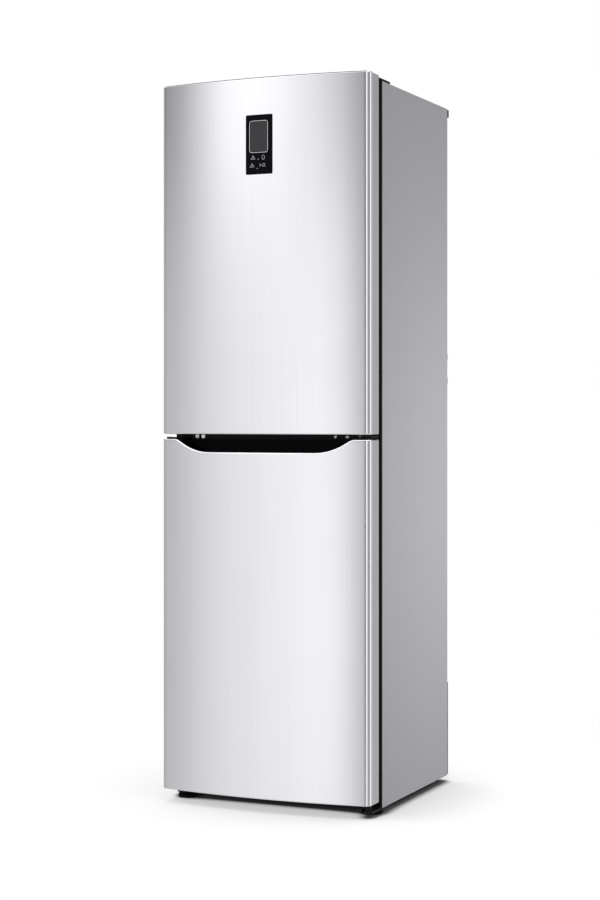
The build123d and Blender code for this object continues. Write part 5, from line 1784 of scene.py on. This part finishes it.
@dataclass
class Studio:
    """Camera, pale floor, soft surrounding light and lamps."""

    camera_place: Point = (2.11186, -4.74485, 1.02557)
    camera_turn: float = math.radians(24.23)
    lens: float = 76.03
    sensor: float = 36.0
    shift_y: float = -0.0381
    view_end: float = 60.0
    floor_radius: float = 1.7
    floor_hub: float = 0.001
    floor_sides: int = 96
    floor_drop: float = 0.0005
    floor_glow: float = 0.88
    floor_fade: Flat = (0.45, 0.95)
    floor_dark: Colour = (0.13, 0.13, 0.13)
    floor_pale: Colour = (0.15, 0.15, 0.15)
    floor_speck: float = 300.0
    contact_reach: float = 0.038
    contact_range: Flat = (0.52, 0.88)
    shade_reach: float = 0.50
    shade_range: Flat = (0.30, 1.0)
    shade_level: Flat = (0.80, 1.0)
    lee_reach: float = 0.30
    lee_range: Flat = (0.20, 0.90)
    lee_level: Flat = (0.78, 1.0)
    light_lean: Point = (-0.62, -0.20, 0.758)
    lift_range: Flat = (0.075, 0.17)
    calm_range: Flat = (-0.30, -0.21)
    calm_level: float = 0.50
    calm_share: float = 0.30
    zenith_range: Flat = (0.40, 0.75)
    zenith: float = 2.0
    underside_range: Flat = (-0.995, -0.95)
    underside: float = 0.06
    ambient_range: Flat = (-0.2, 0.9)
    ambient: Flat = (0.22, 1.0)
    light_high: tuple[Flat, ...] = (
        (-180, 0.50), (-110, 0.55), (-75, 0.35), (-50, 0.16), (-43, 0.40), (-38, 1.00),
        (-34, 1.56), (-22, 1.46), (-15, 1.05), (-8, 0.74), (-4, 0.36), (3, 0.02), (9, 0.10),
        (22, 1.28), (40, 1.28), (56, 0.40), (100, 0.30), (118, 1.30), (146, 1.30), (153, 0.36),
        (180, 0.42),
    )
    light_low: tuple[Flat, ...] = (
        (-180, 0.55), (-110, 0.60), (-75, 0.50), (-50, 0.56), (-44, 0.68), (-38, 0.92),
        (-31, 1.04), (-21, 1.15), (-11, 1.34), (-7, 1.30), (-3.5, 0.62), (3, 0.05), (9, 0.12),
        (22, 1.28), (40, 1.28), (56, 0.44), (100, 0.36), (118, 1.35), (146, 1.35), (153, 0.45),
        (180, 0.50),
    )

    def build(self) -> None:
        """Set the whole studio up."""
        self.camera()
        self.surroundings()
        self.floor()
        self.lamps()
        bpy.context.scene.view_settings.view_transform = "Standard"

    def camera(self) -> None:
        """Camera at the photograph's angle."""
        data = bpy.data.cameras.new("camera")
        data.sensor_width = self.sensor
        data.lens = self.lens
        data.shift_y = self.shift_y
        data.clip_end = self.view_end
        made = bpy.data.objects.new("camera", data)
        made.location = self.camera_place
        made.rotation_euler = (QUARTER, 0.0, self.camera_turn)
        bpy.context.scene.collection.objects.link(made)
        bpy.context.scene.camera = made

    @staticmethod
    def seen_directly(graph: Graph) -> Socket:
        """Whether the camera sees a point itself, also through glass."""
        path = graph.add("LightPath").outputs
        return graph.math("MAXIMUM", path["Is Camera Ray"], path["Is Transmission Ray"])

    def surroundings(self) -> None:
        """White behind the object, and soft light that changes round it."""
        world = bpy.data.worlds.new("studio")
        world.use_nodes = True
        graph = Graph(world.node_tree)
        graph.tree.nodes.clear()
        aim = graph.add("TexCoord").outputs["Generated"]
        parts = graph.add("SeparateXYZ", {0: aim}).outputs
        height = parts[2]
        turn = graph.math("ARCTAN2", parts[0], graph.scaled(parts[1], -1.0))
        place = graph.math("ADD", graph.math("DIVIDE", turn, 2 * math.pi), 0.5)
        low = self.band(graph, place, self.light_low)
        upper = self.band(graph, place, self.light_high)
        around = graph.level(graph.remap(height, self.lift_range, (0.0, 1.0)), low, upper)
        calm = graph.math("ADD", graph.scaled(around, self.calm_share), self.calm_level)
        around = graph.level(graph.remap(height, self.calm_range, (1.0, 0.0)), around, calm)
        high = graph.remap(height, self.zenith_range, (0.0, 1.0))
        above = graph.level(high, around, self.zenith)
        floor_side = graph.remap(height, self.underside_range, (self.underside, 1.0))
        mirrored = graph.scaled(above, floor_side)
        soft = graph.remap(height, self.ambient_range, self.ambient)
        glossy = graph.add("LightPath").outputs["Is Glossy Ray"]
        level = graph.level(self.seen_directly(graph), graph.level(glossy, soft, mirrored), 1.0)
        white = (1.0, 1.0, 1.0, 1.0)
        shade = graph.add("Background", {"Color": white, "Strength": level})
        graph.link(shade.outputs[0], graph.add("OutputWorld").inputs[0])
        bpy.context.scene.world = world

    @staticmethod
    def band(graph: Graph, place: Socket, levels: Sequence[Flat]) -> Socket:
        """Light that changes round the object.

        Args:
            graph: The world's tree.
            place: Where round the object, from 0 to 1, with the front at the middle.
            levels: Pairs of degrees from the front and brightness.

        Returns:
            The brightness socket.
        """
        peak = max(level for _, level in levels)
        stops = [((degrees + 180) / 360, level / peak) for degrees, level in levels]
        return graph.scaled(graph.ramp(place, stops), peak)

    def floor(self) -> None:
        """Round pale floor that fades into the white behind it."""
        rings = []
        for radius in (self.floor_hub, self.floor_radius):
            rings.append([(x, y, 0.0) for x, y in circle(radius, self.floor_sides)])
        draft = MeshDraft()
        draft.grid(rings, closed=True)
        mesh = bpy.data.meshes.new("floor")
        mesh.from_pydata(draft.vertices, [], draft.faces)
        mesh.materials.append(self.floor_material())
        made = bpy.data.objects.new("floor", mesh)
        made.location.z = -self.floor_drop
        made.visible_glossy = False
        bpy.context.scene.collection.objects.link(made)

    def floor_material(self) -> bpy.types.Material:
        """Pale floor with a soft shadow and a dark line where the object stands, painted into its
        glow by occlusion; its lit part keeps the lamps' real shadows.

        Returns:
            The material.
        """
        material = bpy.data.materials.new("studio_floor")
        material.use_nodes = True
        graph = Graph(material.node_tree)
        graph.tree.nodes.clear()
        place = graph.object_place()
        speck = graph.noise(place, self.floor_speck)
        tone = graph.blend(speck, self.floor_dark, self.floor_pale)
        lit = graph.add("BsdfDiffuse", {"Color": tone})
        bounce = graph.add("BsdfDiffuse", {"Color": (*self.floor_dark, 1.0)})
        lean = graph.add("CombineXYZ", dict(enumerate(self.light_lean))).outputs[0]
        near = self.openness(graph, {"Distance": self.contact_reach})
        wide = self.openness(graph, {"Distance": self.shade_reach})
        lee = self.openness(graph, {"Distance": self.lee_reach, "Normal": lean})
        # Painted shadow: the floor's glow is multiplied by how open the room over it is.
        contact = graph.remap(near, self.contact_range, (0.0, self.floor_glow))
        shade = graph.remap(wide, self.shade_range, self.shade_level)
        cast = graph.remap(lee, self.lee_range, self.lee_level)
        lifted = graph.scaled(contact, graph.scaled(shade, cast))
        glow = graph.add("Emission", {"Strength": lifted})
        both = graph.add("AddShader", {0: lit.outputs[0], 1: glow.outputs[0]})
        reach = graph.add("VectorMath", {0: place}, operation="LENGTH").outputs["Value"]
        fade_start, fade_end = [self.floor_radius * share for share in self.floor_fade]
        fade = graph.remap(reach, (fade_start, fade_end), (0.0, 1.0))
        white = graph.add("Emission", {"Strength": 1.0})
        seen = graph.add("MixShader", {0: fade, 1: both.outputs[0], 2: white.outputs[0]})
        inputs = {0: self.seen_directly(graph), 1: bounce.outputs[0], 2: seen.outputs[0]}
        final = graph.add("MixShader", inputs)
        graph.link(final.outputs[0], graph.add("OutputMaterial").inputs[0])
        return material

    @staticmethod
    def openness(graph: Graph, inputs: dict[str, Any]) -> Socket:
        """How open the room over a point of the floor is."""
        return graph.add("AmbientOcclusion", inputs, samples=12).outputs["AO"]

    def lamps(self) -> None:
        """Large soft lamp overhead, one in front and one beside the cabinet."""
        self.lamp("overhead", (-0.5, -0.6, 3.4), (0.0, 0.0, 1.0), (2.4, 2.0), 16.0)
        self.lamp("front", (-0.6, -4.2, 1.0), (0.0, 0.0, 0.95), (0.6, 0.5), 85.0)
        self.lamp("side", (1.40, 0.42, 0.84), (0.20, 0.06, 0.82), (0.5, 0.8), 9.5)

    @staticmethod
    def lamp(name: str, place: Point, aim: Point, size: Flat, energy: float) -> None:
        """One soft lamp that lights without showing in reflections.

        Args:
            name: Name of the lamp.
            place: Where it hangs.
            aim: The point it faces.
            size: Its width and height.
            energy: Its power in watts.
        """
        data = bpy.data.lights.new(name, "AREA")
        data.shape = "RECTANGLE"
        data.size, data.size_y = size
        data.energy = energy
        made = bpy.data.objects.new(name, data)
        made.location = place
        turn = (Vector(aim) - Vector(place)).to_track_quat("-Z", "Y")
        made.rotation_euler = turn.to_euler()
        made.visible_glossy = False
        bpy.context.scene.collection.objects.link(made)


def report_size() -> None:
    """Bring the scene's view layer up to date."""
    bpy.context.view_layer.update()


def build_door_wraps() -> None:
    """Make the steel wraps of both doors."""
    seam = 0.2 * MM
    glass_corner = 4 * MM
    edge_roll = 1.2 * MM
    rise = 1.0 * MM
    low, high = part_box("display_glass")
    window = Window(high.x + seam, low.z - seam, high.z + seam, glass_corner + seam)
    DoorWrap(
        "fridge_door_wrap", "fridge_door_skin", "fridge_door",
        window=window, bottom_rise=rise, roll_radius=edge_roll,
    ).build()
    scoop = Scoop(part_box("freezer_door_skin")[1].z)
    DoorWrap(
        "freezer_door_wrap", "freezer_door_skin", "freezer_door",
        scoop=scoop, top_rise=rise, lower_roll=edge_roll,
    ).build()


def main() -> None:
    """Build and dress every sub-assembly in order."""
    logging.basicConfig(level=logging.INFO, format="%(message)s")
    Studio().build()
    dress_nodes()
    build_door_wraps()
    DisplayPanel().build()
    GapShadeBands().build()
    CapRim(
        "handle_rim", "freezer_door_handle_cap", "freezer_door_skin", "freezer_door",
        start=-287 * MM, end=-236 * MM, rise=6.6 * MM, taper=0.25,
    ).build()
    CapRim(
        "fridge_door_top_rim", "fridge_door_top_cap", "fridge_door_skin", "fridge_door",
        start=-288 * MM, end=288 * MM, rise=2.6 * MM, behind=2.8 * MM, deep=5 * MM, steps=60,
    ).build()
    HingeScrews().build()
    HingeCoverFoot().build()
    RearDress().build()
    FreezerDoorInside().build()
    CrisperGrips().build()
    report_size()


if __name__ == "__main__":
    main()
